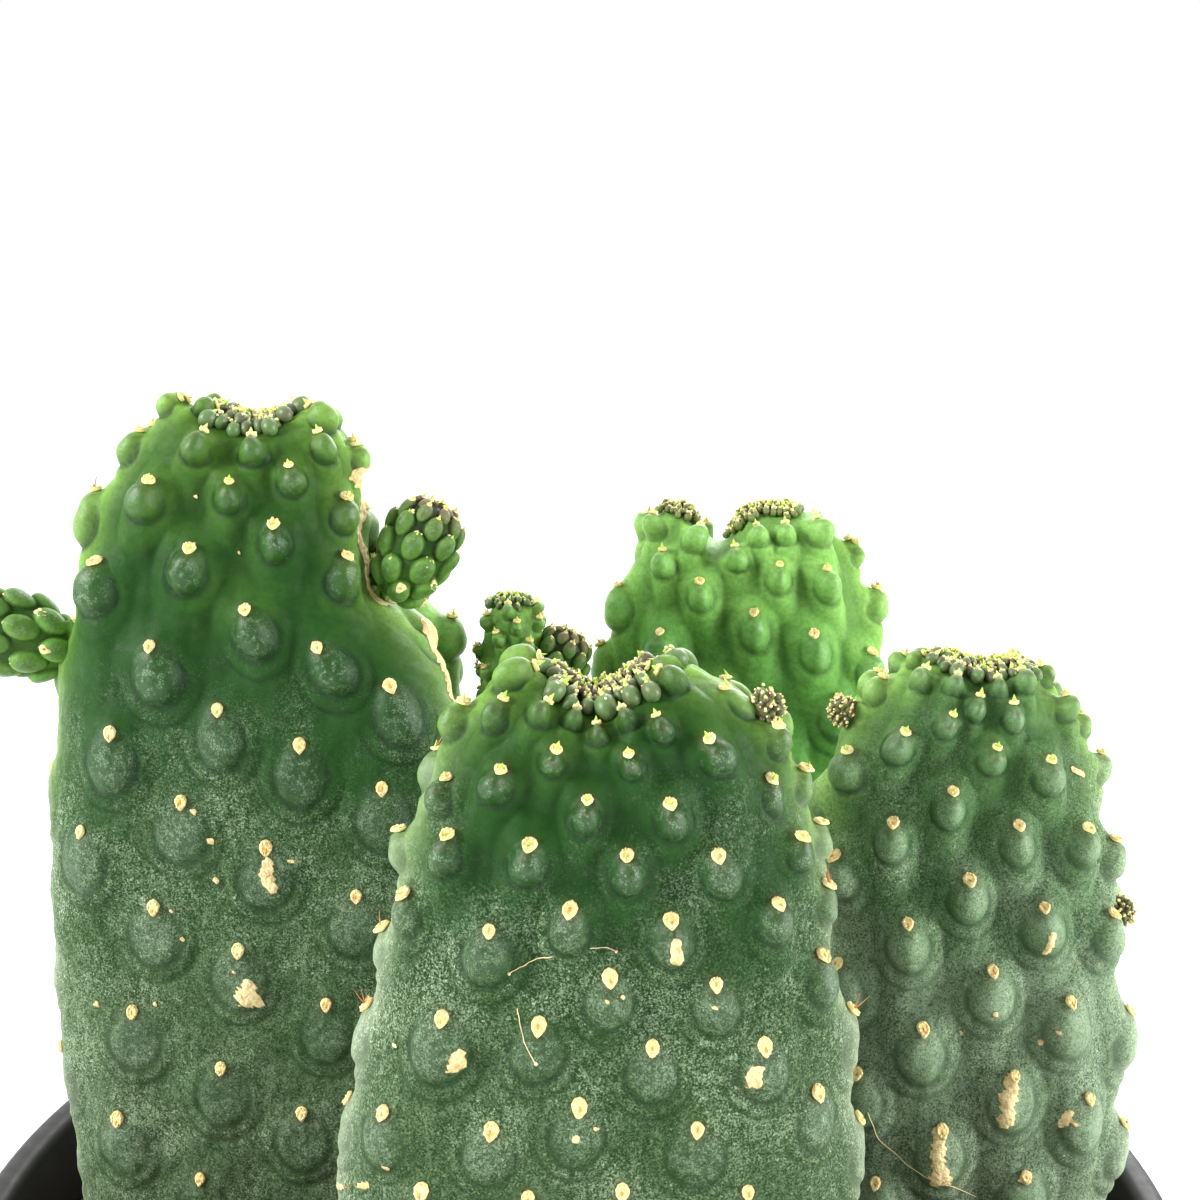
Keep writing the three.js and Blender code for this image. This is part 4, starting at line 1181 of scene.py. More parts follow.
def make_crown(key, plant, bead_finish, leaf_finish, wool_finish):
    """The crest's youngest tubercles, with their awl leaves and specks of wool."""
    tips = tubercles(key, plant)
    rng = own_draws(plant, 200, PADDLES, key)
    bead, leaf, crumb = sphere_pattern(2), leaf_pattern(), sphere_pattern(1)
    beads, leaves, crumbs, shades = [], [], [], []
    sink = 0.9 * PADDLES[key]["inset"]
    share = APEXES[key][0][3]
    # A row of large buried beads fills the crest under the small ones.
    for middle in apex_points(key)[0]:
        beads.append(frame_matrix(middle - np.array([0, 0, 0.5 + sink]), (0, 0, 1), (0, 1, 0),
                                  (2.6, 3.6, 2.8)))
        shades.append(-0.5)
    for place, out, toward, radius, distance in zip(*crest_beads(key, tips, rng)):
        out = unit(out + np.array([0, 0, 0.3]))
        toward = unit(toward)
        lift = 1.0 * math.exp(-((distance / 2.4) ** 2)) + rng.normal(0, 0.2) - sink
        middle = place + out * (0.6 * radius + lift)
        size = 2 * radius
        beads.append(frame_matrix(middle, out, toward, (size, 1.3 * size, 1.2 * size)))
        # Beads turn green away from the apex, and all of them on the small paddle.
        green = (distance / share - 1) / 3.2 + rng.normal(0, 0.15)
        shades.append(1 if key == "back_centre" else float(np.clip(green, 0, 1.3)))
        tip = middle + 1.0 * radius * out + 0.5 * radius * toward
        length = min(0.75 + 0.4 * radius, 1.15) * rng.uniform(0.7, 1.15)
        leaves.append(frame_matrix(tip - 0.25 * out, out + 0.8 * toward + rng.normal(0, 0.25, 3),
                                   toward, (length, length, length)))
        for _ in range(4 if distance < 2 else 6):
            spot = tip + rng.normal(0, 0.36 * radius, 3) - 0.12 * out
            lump = rng.uniform(0.3, 0.6) * min(radius + 0.3, 0.9)
            crumbs.append(frame_matrix(spot, out, toward, (lump, lump, lump)))
    cover("cactus_skin", rng, [
        ("crown_" + key, bead, beads, 0.03, shades, bead_finish),
        ("crown_leaves_" + key, leaf, leaves, 0.0, (0, 1), leaf_finish),
        ("crown_wool_" + key, crumb, crumbs, 0.15, (0, 0.8), wool_finish)])


def spine_pattern():
    """A slightly curved needle 1 mm long."""
    deselect_all()
    bpy.ops.mesh.primitive_cone_add(vertices=5, radius1=0.045 * MM, radius2=0.004 * MM,
                                    depth=1 * MM, location=(0, 0, 0.5 * MM))
    pattern = bpy.context.active_object
    bpy.ops.object.transform_apply(location=True)
    edit_all(lambda: bpy.ops.mesh.subdivide(number_cuts=2))
    for vertex in pattern.data.vertices:
        vertex.co.y += 0.16 * MM * (vertex.co.z / MM) ** 2
    return pattern


def make_spines(key, plant, material):
    """A few short spines, mostly on the areoles along the edges."""
    paddle = PADDLES[key]
    tips = tubercles(key, plant)
    rng = own_draws(plant, 400, PADDLES, key)
    chosen = []
    for tip in tips:
        edge = abs((tip["turn"] * 2 + 0.5) % 1 - 0.5) < 0.09
        if edge and tip["s"] > 14 and rng.random() < 0.55:
            chosen.append(tip)
    places, outward, upward = skin_frames(paddle, *where(chosen), tips)
    needles = []
    for place, out, up in zip(places, outward, upward):
        up = unit(up)
        for _ in range(rng.integers(2, 5)):
            length = plant.spine_length / MM * rng.uniform(0.4, 1)
            way = out + 0.35 * up + rng.normal(0, 0.45, 3)
            needles.append(frame_matrix(place + 0.3 * out, way, up + rng.normal(0, 0.3, 3),
                                        (length * 0.9, length, length)))
    cover("cactus_skin", rng, [
        ("spines_" + key, spine_pattern(), needles, 0.0, (0, 1), material)])


def ball_points(count):
    """Even places on a unit ball."""
    index = np.arange(count) + 0.5
    polar = np.arccos(1 - 2 * index / count)
    around = math.pi * (1 + 5 ** 0.5) * index
    return np.stack([np.sin(polar) * np.cos(around), np.sin(polar) * np.sin(around),
                     np.cos(polar)], -1)


BUD_BEADS = 64   # beads on a whole ball, before those on its foot are left out


def make_buds(key, plant, bead_finish, leaf_finish, wool_finish):
    """Balls of very small beads that break from areoles near the crest and on an edge."""
    paddle = PADDLES[key]
    tips = tubercles(key, plant)
    rng = own_draws(plant, 500, PADDLES, key)
    places, outward, upward = skin_frames(paddle, *zip(*paddle["buds"]), tips)
    bead, leaf, crumb = sphere_pattern(2), leaf_pattern(), sphere_pattern(1)
    beads, leaves, crumbs = [], [], []
    for place, out, up in zip(places, outward, upward):
        middle = place + 1.1 * out
        beads.append(frame_matrix(middle, out, up, (3.2, 3.2, 3.0)))
        for way in ball_points(BUD_BEADS):
            if way @ out < -0.55:
                continue
            spot = middle + way * 1.55 + rng.normal(0, 0.08, 3)
            size = rng.uniform(0.28, 0.46)
            beads.append(frame_matrix(spot, way, up, (2 * size, 2 * size, 2.8 * size)))
            top = spot + way * size * 1.1
            if rng.random() < 0.35:
                length = rng.uniform(0.3, 0.5)
                leaves.append(frame_matrix(top, way + 0.4 * np.array([0, 0, 1]), up,
                                           (length, length, length)))
            for _ in range(2):
                size = rng.uniform(0.2, 0.5)
                crumbs.append(frame_matrix(top + rng.normal(0, 0.16, 3), way, up, (size,) * 3))
    cover("cactus_skin", rng, [
        ("buds_" + key, bead, beads, 0.04, (0, 0.6), bead_finish),
        ("bud_leaves_" + key, leaf, leaves, 0.0, (0, 1), leaf_finish),
        ("bud_wool_" + key, crumb, crumbs, 0.15, (0, 0.8), wool_finish)])


# ---------------------------------------------------------------- side shoots

def pup_basis(pup):
    """Directions across, behind and along a shoot."""
    up = Vector(pup["axis"]).normalized()
    across = Vector((0, 1, 0)).cross(up).normalized()
    return np.array(across), np.array(up.cross(across)), np.array(up)


def pup_point(pup, around, polar):
    """Points of a shoot's smooth body and the outward directions there, in mm."""
    across, back, up = pup_basis(pup)
    whole = pup["length"] + PUP_SINK
    height = whole * (0.5 + 0.5 * np.cos(polar)) - PUP_SINK
    girth = np.maximum(np.sin(polar), 0) ** 0.8 * (1 + 0.18 * np.cos(polar))
    x = girth * pup["wide"] * np.cos(around)
    y = girth * pup["thick"] * np.sin(around)
    points = (np.array(pup["root"]) + x[..., None] * across + y[..., None] * back
              + height[..., None] * up)
    out = (np.cos(around) / pup["wide"])[..., None] * across * np.sin(polar)[..., None]
    out = out + (np.sin(around) / pup["thick"])[..., None] * back * np.sin(polar)[..., None]
    out = out + (2 * np.cos(polar) / whole)[..., None] * up
    return points, unit(out)


def pup_tips(pup):
    """Tubercles of a shoot on a spiral: their polar angle, angle around and size in mm."""
    tips = []
    turn, polar = 0.0, 2.6
    while polar > 0.14:
        size = pup["wide"] * (0.34 - 0.2 * (1 - min(polar / 1.7, 1)) ** 1.3)
        tips.append((polar, turn % (2 * math.pi), size))
        turn += math.pi * (3 - 5 ** 0.5)
        girth = 2 * math.pi * (pup["wide"] + pup["thick"]) / 2 * max(math.sin(polar), 0.2)
        polar -= 5.4 * size ** 2 / girth * 2 / (pup["length"] + PUP_SINK)
    return tips


def make_pup(key, plant, skin, leaf_finish, wool_finish):
    """A side shoot of overlapping tubercles, each with its areole and a small awl leaf."""
    pup = PUPS[key]
    rng = own_draws(plant, 600, PUPS, key)
    sink = PUP_SKIN_SINK * pup["wide"]
    around = np.linspace(0, 2 * math.pi, 221)[None, :]
    polar = np.linspace(0, math.pi, 171)[:, None]
    around, polar = np.broadcast_arrays(around, polar)
    points, outward = pup_point(pup, around, polar)
    up = pup_basis(pup)[2]
    height, egg, none = (np.zeros(points.shape[:-1]) for _ in range(3))
    tops = []
    for tip_polar, tip_around, size in pup_tips(pup):
        centre, out = pup_point(pup, np.array(tip_around), np.array(tip_polar))
        climb = unit(up - out * (up @ out))
        offset = points - centre
        rise = offset @ climb
        spread = np.sqrt(np.maximum((offset ** 2).sum(-1) - rise ** 2, 0))
        gap = np.hypot(spread / size, rise / (1.35 * size))
        dome = np.maximum(1 - gap ** 2.6, 0) ** 0.55 * (1 + 0.3 * np.clip(rise / size, -1, 1))
        height = np.maximum(height, 0.72 * size * dome)
        egg = np.maximum(egg, np.clip(1.1 - gap, 0, 1))
        lean = out + 0.7 * climb
        top = centre + (0.5 * size - sink) * out + 0.92 * size * climb
        tops.append((top, lean, climb, size))
    points = points + outward * (height - sink)[..., None]
    points[0] = points[0].mean(0)
    points[-1] = points[-1].mean(0)
    points[:, -1] = points[:, 0]
    # Painted shade: the skin between a shoot's tubercles is marked to be painted dark.
    body = shaped_grid("pup_skin_" + key, points, egg=egg, groove=1 - smooth(egg, 0.08, 0.3),
                       ring=none, cork=none, edge=none, zone=np.clip(polar / math.pi, 0, 1))
    finish_piece(body, skin, "young_skin", "pup_" + key)
    leaf, crumb = leaf_pattern(), wool_pattern()
    leaves, crumbs = [], []
    for place, lean, climb, size in tops:
        wide = 0.72 * size * rng.uniform(0.85, 1.1)
        crumbs.append(frame_matrix(place, lean, climb, (wide, wide, 1.2 * wide)))
        for _ in range(3):
            spot = place + rng.normal(0, 0.13 * size, 3)
            lump = rng.uniform(0.24, 0.42) * min(size + 0.2, 1.3)
            crumbs.append(frame_matrix(spot, lean, climb, (lump, lump, lump)))
        length = rng.uniform(0.45, 0.65) * min(size + 0.2, 1.2)
        leaves.append(frame_matrix(place - 0.1 * climb + 0.1 * lean,
                                   lean + 0.6 * climb + rng.normal(0, 0.15, 3), climb,
                                   (length * 0.9, length * 0.9, length)))
    cover("young_skin", rng, [
        ("pup_leaves_" + key, leaf, leaves, 0.0, (0, 1), leaf_finish),
        ("pup_wool_" + key, crumb, crumbs, 0.15, (0, 0.7), wool_finish)])


# ---------------------------------------------------------------- threads

def tube(name, points, radii, sides=6):
    """A closed tube through points in mm, with a radius at each."""
    points = [Vector(point) for point in points]
    rows = []
    for i, point in enumerate(points):
        ahead = (points[min(i + 1, len(points) - 1)] - points[max(i - 1, 0)]).normalized()
        side = ahead.cross(Vector((0, 1, 0.1))).normalized()
        over = side.cross(ahead)
        rows.append([point + (side * math.cos(2 * math.pi * k / sides)
                              + over * math.sin(2 * math.pi * k / sides)) * radii[i]
                     for k in range(sides + 1)])
    rows = [[points[0]] * (sides + 1), *rows, [points[-1]] * (sides + 1)]
    return shaped_grid(name, np.array([[list(point) for point in row] for row in rows]))


def make_threads(plant, material):
    """Dry threads that lie on the faces of two paddles."""
    tubes = []
    for number, (key, bulb, radius, pixels) in enumerate(THREADS):
        paddle = PADDLES[key]
        share = np.linspace(0, len(pixels) - 1, 9 * len(pixels))
        route = np.stack([np.interp(share, range(len(pixels)), [q[axis] for q in pixels])
                          for axis in (0, 1)], -1)
        turn, s = settled(paddle, route)
        here, outward, _ = skin_frames(paddle, turn, s, tubercles(key, plant))
        path = here + outward * (1.2 * radius + 0.08 * np.sin(np.arange(len(here)))[:, None])
        for _ in range(3):   # rounds of smoothing
            path[1:-1] = (path[:-2] + 2 * path[1:-1] + path[2:]) / 4
        radii = [bulb if i < 2 else radius for i in range(len(path))]
        tubes.append(tube(f"thread_{number}", path, radii))
    return finish_piece(join_pieces("threads", tubes), material, "cactus_skin")


# ---------------------------------------------------------------- pot and potting mix

def wall_inner(z):
    """Radius of the pot's inner wall at a height."""
    top = POT["rim"] - POT["overhang"] - POT["wall"]
    bottom = POT["foot"] - POT["wall"]
    return bottom + (top - bottom) * z / POT["height"]


def wall_outer(z):
    return wall_inner(z) + POT["wall"]


def pot_profile():
    """Outline of the pot's wall from the middle of its underside round to its floor.

    The lip is a rounded band with a fine channel round it.
    """
    rim, height, floor = POT["rim"], POT["height"], POT["foot_lift"]
    lip_foot = height - POT["lip_depth"]
    floor_top = floor + POT["wall"]
    ring_inside = POT["foot"] - POT["foot_width"]
    foot = [(0, floor), (FLOOR_RING, floor), (ring_inside - 1, floor), (ring_inside - 0.3, 0.3),
            (ring_inside, 0), (POT["foot"] - 1, 0), (wall_outer(0.4) - 0.1, 0.4)]
    outside = [(wall_outer(z), z) for z in (*OUTER_RINGS, lip_foot - 8, lip_foot - 1)]
    lip = [(wall_outer(lip_foot) + 0.3, lip_foot - 0.2), (rim - 1, lip_foot),
           (rim - 0.2, lip_foot + 0.3), (rim, lip_foot + 1), (rim - 0.05, lip_foot + 2),
           (rim - 0.45, lip_foot + 2.3), (rim - 0.45, lip_foot + 2.8),
           (rim - 0.05, lip_foot + 3.1), (rim, height - 1.4), (rim - 0.35, height - 0.45),
           (rim - 1.1, height), (wall_inner(height) + 1.1, height),
           (wall_inner(height) + 0.25, height - 0.5)]
    inside = [(wall_inner(z), z) for z in (*INNER_RINGS, floor_top + 1)]
    return [*foot, *outside, *lip, *inside, (wall_inner(floor_top) - 1, floor_top),
            (FLOOR_RING, floor_top), (0, floor_top)]


def make_pot(material):
    """The pot, turned from its outline, with drain holes cut through its floor."""
    around = np.linspace(0, 2 * math.pi, POT_SIDES + 1)
    points = np.array([[(r * math.cos(a), r * math.sin(a), z) for a in around]
                       for r, z in pot_profile()])
    points[:, -1] = points[:, 0]
    piece = shaped_grid("pot_shell", points)
    cutters = []
    for number in range(POT["holes"]):
        angle = 2 * math.pi * number / POT["holes"]
        deselect_all()
        bpy.ops.mesh.primitive_cylinder_add(
            vertices=32, radius=POT["hole_radius"] * MM, depth=12 * MM,
            location=(POT["hole_circle"] * MM * math.cos(angle),
                      POT["hole_circle"] * MM * math.sin(angle),
                      (POT["foot_lift"] + POT["wall"]) * MM))
        cutters.append(bpy.context.active_object)
    cutter = join_pieces("pot_holes", cutters)
    make_active(piece)
    cut = piece.modifiers.new("holes", "BOOLEAN")
    cut.operation = "DIFFERENCE"
    cut.solver = "EXACT"
    cut.object = cutter
    bpy.ops.object.modifier_apply(modifier="holes")
    bpy.data.objects.remove(cutter)
    bpy.ops.object.shade_smooth_by_angle(angle=math.radians(40))
    return finish_piece(piece, material, "pot_plastic", "pot")


def soil_height(x, y):
    """Height of the potting mix: domed a little, with lumps that fade towards the wall."""
    edge = np.hypot(x, y) / wall_inner(SOIL_TOP)
    lumps = (np.sin(0.21 * x + 1.3) * np.sin(0.24 * y) + 0.6 * np.sin(0.43 * x - 0.37 * y))
    fine = (0.5 * np.sin(1.3 * x + 0.7 * y) * np.sin(1.1 * y - 0.6 * x)
            + 0.35 * np.sin(2.6 * x + 1.9 * y + 2) * np.sin(2.3 * y - 1.7 * x)
            + 0.25 * np.sin(4.7 * x - 3.9 * y) * np.sin(4.1 * y + 3.3 * x + 1))
    return (SOIL_TOP + SOIL_DOME * (1 - edge ** 2)
            + (0.7 * lumps + 0.6 * fine) * (1 - edge ** 8))


def make_soil(material):
    """The bed of potting mix, lumpy on top and plain where the pot hides it."""
    rim = wall_inner(SOIL_TOP) - 0.3
    floor_top = POT["foot_lift"] + POT["wall"]
    around = np.linspace(0, 2 * math.pi, SOIL_SIDES + 1)
    rows = [[(0, 0, floor_top + 0.4)] * len(around)]
    for r, z in ((wall_inner(floor_top) - 2, floor_top + 0.4),
                 (wall_inner(floor_top + 2) - 0.4, floor_top + 2)):
        rows.append([(r * math.cos(a), r * math.sin(a), z) for a in around])
    for r in np.linspace(rim, 0, SOIL_RINGS):
        rows.append([(r * math.cos(a), r * math.sin(a),
                      float(soil_height(r * math.cos(a), r * math.sin(a)))) for a in around])
    points = np.array(rows, float)
    points[:, -1] = points[:, 0]
    piece = shaped_grid("soil_bed", points)
    return finish_piece(piece, material, "potting_mix", "soil")


def clear_of_paddles(x, y, gap):
    """True where a point of the soil lies at least gap mm outside every paddle."""
    for paddle in PADDLES.values():
        turn = np.linspace(0, 1, 60, endpoint=False)
        outline = body_point(paddle, turn, np.full(60, face_length(paddle)))[0][:, :2]
        middle = outline.mean(0)
        way = np.array((x, y)) - middle
        nearest = outline[np.argmin(np.hypot(*(outline - (x, y)).T))]
        inside = np.hypot(*way) < np.hypot(*(nearest - middle))
        if inside or np.hypot(*(nearest - (x, y))) < gap:
            return False
    return True


def make_litter(plant, pots, bark_finish, grit_finish):
    """Bark chips and pale grains that lie on the bed."""
    rng = np.random.default_rng(plant.seed + 900)
    rim = wall_inner(SOIL_TOP) - 3

    def scattered(count, low, high, flat):
        """Places for crumbs of low to high mm, whose height is the share flat of their size."""
        places = []
        while len(places) < count:
            r, a = rim * math.sqrt(rng.random()), rng.uniform(0, 2 * math.pi)
            x, y = r * math.cos(a), r * math.sin(a)
            if not clear_of_paddles(x, y, 0.6):
                continue
            size = low + (high - low) * rng.random() ** 2
            up = Vector((rng.normal(0, 0.3), rng.normal(0, 0.3), 1))
            scale = (size * rng.uniform(0.8, 1.3), size * rng.uniform(0.6, 1),
                     size * flat * rng.uniform(0.7, 1.2))
            z = float(soil_height(np.array(x), np.array(y))) + 0.15 * size * flat
            places.append(frame_matrix((x, y, z), up, rng.normal(0, 1, 3), scale))
        return places

    crumb = sphere_pattern(1)
    chips = stamp(crumb, scattered(pots.chips, 1.6, 6.5, 0.42), "soil_bark", rng, 0.18,
                  rng.uniform(0, 1, pots.chips))
    grains = stamp(crumb, scattered(pots.grains, 0.9, 3.2, 0.85), "soil_grit", rng, 0.15,
                   rng.uniform(0, 1, pots.grains))
    bpy.data.objects.remove(crumb)
    for piece in (chips, grains):
        make_active(piece)
        bpy.ops.object.shade_flat()
    finish_piece(chips, bark_finish, "potting_mix")
    finish_piece(grains, grit_finish, "potting_mix")


# ---------------------------------------------------------------- stage

def make_camera():
    """The camera, at the photograph's viewing angle."""
    camera = bpy.data.cameras.new("camera")
    camera.lens = CAMERA["lens"]
    camera.sensor_width = CAMERA["sensor"]
    camera.clip_start = 0.01
    camera.clip_end = 100
    holder = bpy.data.objects.new("camera", camera)
    bpy.context.scene.collection.objects.link(holder)
    holder.location = Vector(CAMERA["place"]) * MM
    holder.rotation_euler = (math.radians(90 - CAMERA["down"]), 0, 0)
    bpy.context.scene.camera = holder


def area_light(name, place, target, size, power):
    """A round soft light, with its places and size in metres."""
    light = bpy.data.lights.new(name, "AREA")
    light.shape = "DISK"
    light.size = size
    light.energy = power
    holder = bpy.data.objects.new(name, light)
    bpy.context.scene.collection.objects.link(holder)
    holder.location = place
    holder.rotation_euler = (Vector(target) - Vector(place)).to_track_quat(
        "-Z", "Y").to_euler()


def make_world(stage):
    """White all round for the camera. The light itself comes from above, behind and the sides."""
    world = bpy.data.worlds.new("studio")
    world.use_nodes = True
    tree = world.node_tree
    way = node(tree, "ShaderNodeTexCoord").outputs["Generated"]
    parts = node(tree, "ShaderNodeSeparateXYZ", {0: way})
    behind = span(tree, parts.outputs["Y"], -0.35, 0.8, 0.3, 2.6)
    above = span(tree, parts.outputs["Z"], 0.1, 0.95, 0.0, 0.9)
    strength = times(tree, plus(tree, behind, above), stage.sky_light)
    seen = node(tree, "ShaderNodeLightPath").outputs["Is Camera Ray"]
    shown = node(tree, "ShaderNodeMix", {0: seen, 2: strength, 3: 1.0}, data_type="FLOAT")
    background = tree.nodes["Background"]
    background.inputs["Color"].default_value = (1, 1, 1, 1)
    tree.links.new(shown.outputs[0], background.inputs["Strength"])
    bpy.context.scene.world = world


def make_floor(stage):
    """A wide pale floor."""
    deselect_all()
    bpy.ops.mesh.primitive_circle_add(vertices=96, radius=30, fill_type="NGON")
    floor = bpy.context.active_object
    floor.name = floor.data.name = "stage_floor"
    material, tree, shader = new_material("stage_floor")
    tint = mix(tree, span(tree, noise(tree, 0.3, 2), 0.3, 0.7, 0, 0.03), stage.floor,
               (0.8, 0.8, 0.8, 1))
    tree.links.new(tint, shader.inputs["Base Color"])
    shader.inputs["Roughness"].default_value = 0.9
    shader.inputs["Emission Color"].default_value = (1, 1, 1, 1)
    shader.inputs["Emission Strength"].default_value = 0.18
    floor.data.materials.append(material)


# ---------------------------------------------------------------- operators

def skin_finishes(plant):
    """Greens of each skin from the crest down, and what else makes it differ."""
    return {
        "mature_skin": dict(greens=[
            (0.0, plant.young_green), (0.16, rgb(62, 100, 34)), (0.3, rgb(34, 73, 24)),
            (0.45, plant.deep_green), (0.6, rgb(43, 74, 34)), (0.8, rgb(60, 85, 49)),
            (0.95, plant.old_green)]),
        "greyed_skin": dict(greens=[
            (0.0, rgb(148, 192, 108)), (0.1, rgb(120, 164, 88)), (0.28, rgb(70, 108, 56)),
            (0.42, rgb(72, 107, 62)), (0.58, rgb(112, 134, 104)), (0.78, rgb(98, 119, 90)),
            (0.95, rgb(112, 130, 102))],
            bloom=1.1, waxed=(0.16, 0.56), egg_green=rgb(112, 146, 98), crease=0.9,
            streak=(1, 1, 0.35)),
        "fresh_skin": dict(greens=[
            (0.0, rgb(140, 194, 96)), (0.2, rgb(106, 164, 74)), (0.42, rgb(76, 134, 56)),
            (0.8, plant.old_green)], bloom=0.4, egg_green=rgb(34, 92, 32), crease=0.6),
        "pup_skin": dict(greens=[
            (0.0, rgb(136, 112, 84)), (0.16, rgb(108, 100, 68)), (0.34, rgb(90, 128, 52)),
            (0.75, rgb(104, 158, 56))], bloom=0.15),
    }


def plain_finishes(plant, pots):
    """Two colours, roughness, grain and bump depth in metres, and glow of each plain finish."""
    return {
        "bead_skin": (plant.bead, rgb(84, 116, 62), 0.42, 0.0012, 0.00004, 0.1),
        "bud_skin": (rgb(86, 72, 50), rgb(106, 124, 62), 0.5, 0.0009, 0.00005, 0.1),
        "leaf_green": (plant.leaf, rgb(206, 200, 110), 0.45, 0.0008, 0.00003, 0.2),
        "areole_wool": (plant.wool, plant.wool_depth, 0.95, 0.0005, 0.00015, 0.3),
        "crown_wool": (rgb(250, 236, 180), rgb(206, 170, 104), 0.95, 0.0005, 0.0001, 0.2),
        "spine_horn": (rgb(214, 156, 98), rgb(146, 80, 48), 0.4, 0.001, 0.00003, 0.1),
        "dry_thread": (rgb(240, 220, 170), rgb(206, 160, 104), 0.8, 0.0012, 0.00005),
        "bark": (pots.bark, rgb(58, 38, 26), 0.9, 0.0012, 0.0003),
        "grit": (pots.grit, rgb(150, 140, 124), 0.85, 0.0009, 0.0002),
    }


def finish_named(name):
    """The finish of that name, made once."""
    made = bpy.data.materials.get(name)
    if made:
        return made
    plant, pots = bpy.context.scene.cactus_plant, bpy.context.scene.cactus_pot
    skins = skin_finishes(plant)
    if name in skins:
        return skin_material(name, plant, **skins[name])
    return shaded_material(name, *plain_finishes(plant, pots)[name])


class CACTUS_OT_pot(bpy.types.Operator):
    """Build the round plastic pot"""
    bl_idname = "cactus.pot"
    bl_label = "Pot"

    def execute(self, context):
        make_pot(plastic_material(context.scene.cactus_pot))
        return {"FINISHED"}


class CACTUS_OT_soil(bpy.types.Operator):
    """Build the potting mix with its bark chips and pale grains"""
    bl_idname = "cactus.soil"
    bl_label = "Potting mix"

    def execute(self, context):
        pots = context.scene.cactus_pot
        make_soil(peat_material(pots))
        make_litter(context.scene.cactus_plant, pots, finish_named("bark"), finish_named("grit"))
        return {"FINISHED"}


class CACTUS_OT_paddles(bpy.types.Operator):
    """Build the skin of the broad flat stems"""
    bl_idname = "cactus.paddles"
    bl_label = "Paddles"

    def execute(self, context):
        for key, paddle in PADDLES.items():
            make_skin(key, context.scene.cactus_plant, finish_named(paddle["skin"]))
        return {"FINISHED"}


class CACTUS_OT_areoles(bpy.types.Operator):
    """Build the woolly areoles and the awl leaves in the young ones"""
    bl_idname = "cactus.areoles"
    bl_label = "Areoles"

    def execute(self, context):
        for key in PADDLES:
            make_areoles(key, context.scene.cactus_plant, finish_named("areole_wool"),
                         finish_named("leaf_green"))
        return {"FINISHED"}


class CACTUS_OT_crowns(bpy.types.Operator):
    """Build the beads, leaves and wool along the crests"""
    bl_idname = "cactus.crowns"
    bl_label = "Crowns"

    def execute(self, context):
        for key, paddle in PADDLES.items():
            make_crown(key, context.scene.cactus_plant, finish_named(paddle["beads"]),
                       finish_named("leaf_green"), finish_named("crown_wool"))
        return {"FINISHED"}


class CACTUS_OT_spines(bpy.types.Operator):
    """Build the few short spines"""
    bl_idname = "cactus.spines"
    bl_label = "Spines"

    def execute(self, context):
        for key in PADDLES:
            make_spines(key, context.scene.cactus_plant, finish_named("spine_horn"))
        return {"FINISHED"}


class CACTUS_OT_buds(bpy.types.Operator):
    """Build the bead-covered buds"""
    bl_idname = "cactus.buds"
    bl_label = "Buds"

    def execute(self, context):
        for key, paddle in PADDLES.items():
            if paddle["buds"]:
                make_buds(key, context.scene.cactus_plant, finish_named("bud_skin"),
                          finish_named("leaf_green"), finish_named("crown_wool"))
        return {"FINISHED"}


class CACTUS_OT_pups(bpy.types.Operator):
    """Build the small side shoots"""
    bl_idname = "cactus.pups"
    bl_label = "Side shoots"

    def execute(self, context):
        for key in PUPS:
            make_pup(key, context.scene.cactus_plant, finish_named("pup_skin"),
                     finish_named("leaf_green"), finish_named("crown_wool"))
        return {"FINISHED"}


class CACTUS_OT_threads(bpy.types.Operator):
    """Build the dry threads on the front and right paddles"""
    bl_idname = "cactus.threads"
    bl_label = "Dry threads"

    def execute(self, context):
        make_threads(context.scene.cactus_plant, finish_named("dry_thread"))
        return {"FINISHED"}


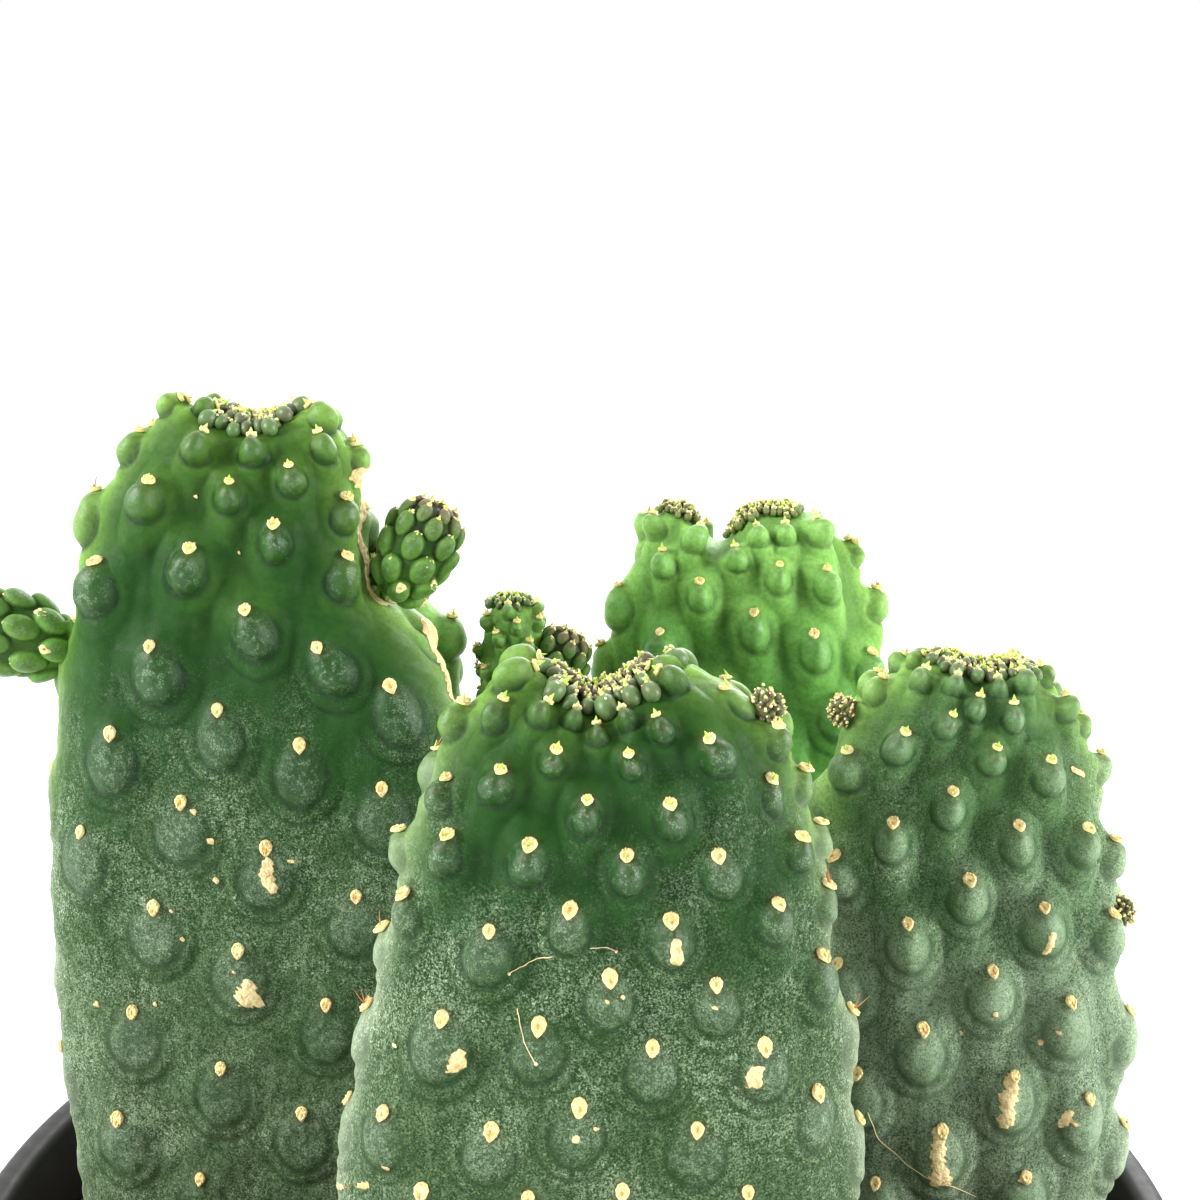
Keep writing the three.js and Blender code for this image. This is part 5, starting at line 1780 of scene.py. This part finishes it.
class CACTUS_OT_stage(bpy.types.Operator):
    """Build the floor, the light and the camera"""
    bl_idname = "cactus.stage"
    bl_label = "Stage"

    def execute(self, context):
        stage = context.scene.cactus_stage
        make_camera()
        make_world(stage)
        if stage.show_floor:
            make_floor(stage)
        area_light("key", (-0.6, -0.3, 0.5), (0, 0, 0.18), 0.3, stage.key_light)
        area_light("back", (0.25, 0.6, 0.55), (0, 0, 0.2), 0.6, stage.back_light)
        area_light("fill", (0.65, -0.22, 0.3), (0.04, 0, 0.17), 0.3, stage.fill_light)
        context.scene.view_settings.view_transform = "Standard"
        return {"FINISHED"}


OPERATORS = (CACTUS_OT_pot, CACTUS_OT_soil, CACTUS_OT_paddles, CACTUS_OT_areoles,
             CACTUS_OT_crowns, CACTUS_OT_spines, CACTUS_OT_buds, CACTUS_OT_pups,
             CACTUS_OT_threads, CACTUS_OT_stage)


class CACTUS_PT_sidebar(bpy.types.Panel):
    """Panel with the settings and the pieces"""
    bl_label = "Potted Paddle Cactus"
    bl_idname = "CACTUS_PT_sidebar"
    bl_space_type = "VIEW_3D"
    bl_region_type = "UI"
    bl_category = "Cactus"

    def draw(self, context):
        for group in (context.scene.cactus_plant, context.scene.cactus_pot,
                      context.scene.cactus_stage):
            box = self.layout.box()
            for name in group.bl_rna.properties.keys():
                if name not in ("rna_type", "name"):
                    box.prop(group, name)
        for operator in OPERATORS:
            self.layout.operator(operator.bl_idname)


CLASSES = (CactusPlantSettings, CactusPotSettings, CactusStageSettings, *OPERATORS,
           CACTUS_PT_sidebar)


def register():
    for made in CLASSES:
        bpy.utils.register_class(made)
    bpy.types.Scene.cactus_plant = PointerProperty(type=CactusPlantSettings)
    bpy.types.Scene.cactus_pot = PointerProperty(type=CactusPotSettings)
    bpy.types.Scene.cactus_stage = PointerProperty(type=CactusStageSettings)


def unregister():
    del bpy.types.Scene.cactus_stage
    del bpy.types.Scene.cactus_pot
    del bpy.types.Scene.cactus_plant
    for made in reversed(CLASSES):
        bpy.utils.unregister_class(made)


def main():
    register()
    bpy.ops.cactus.pot()
    bpy.ops.cactus.soil()
    bpy.ops.cactus.paddles()
    bpy.ops.cactus.areoles()
    bpy.ops.cactus.crowns()
    bpy.ops.cactus.spines()
    bpy.ops.cactus.buds()
    bpy.ops.cactus.pups()
    bpy.ops.cactus.threads()
    bpy.ops.cactus.stage()


if __name__ == "__main__":
    main()
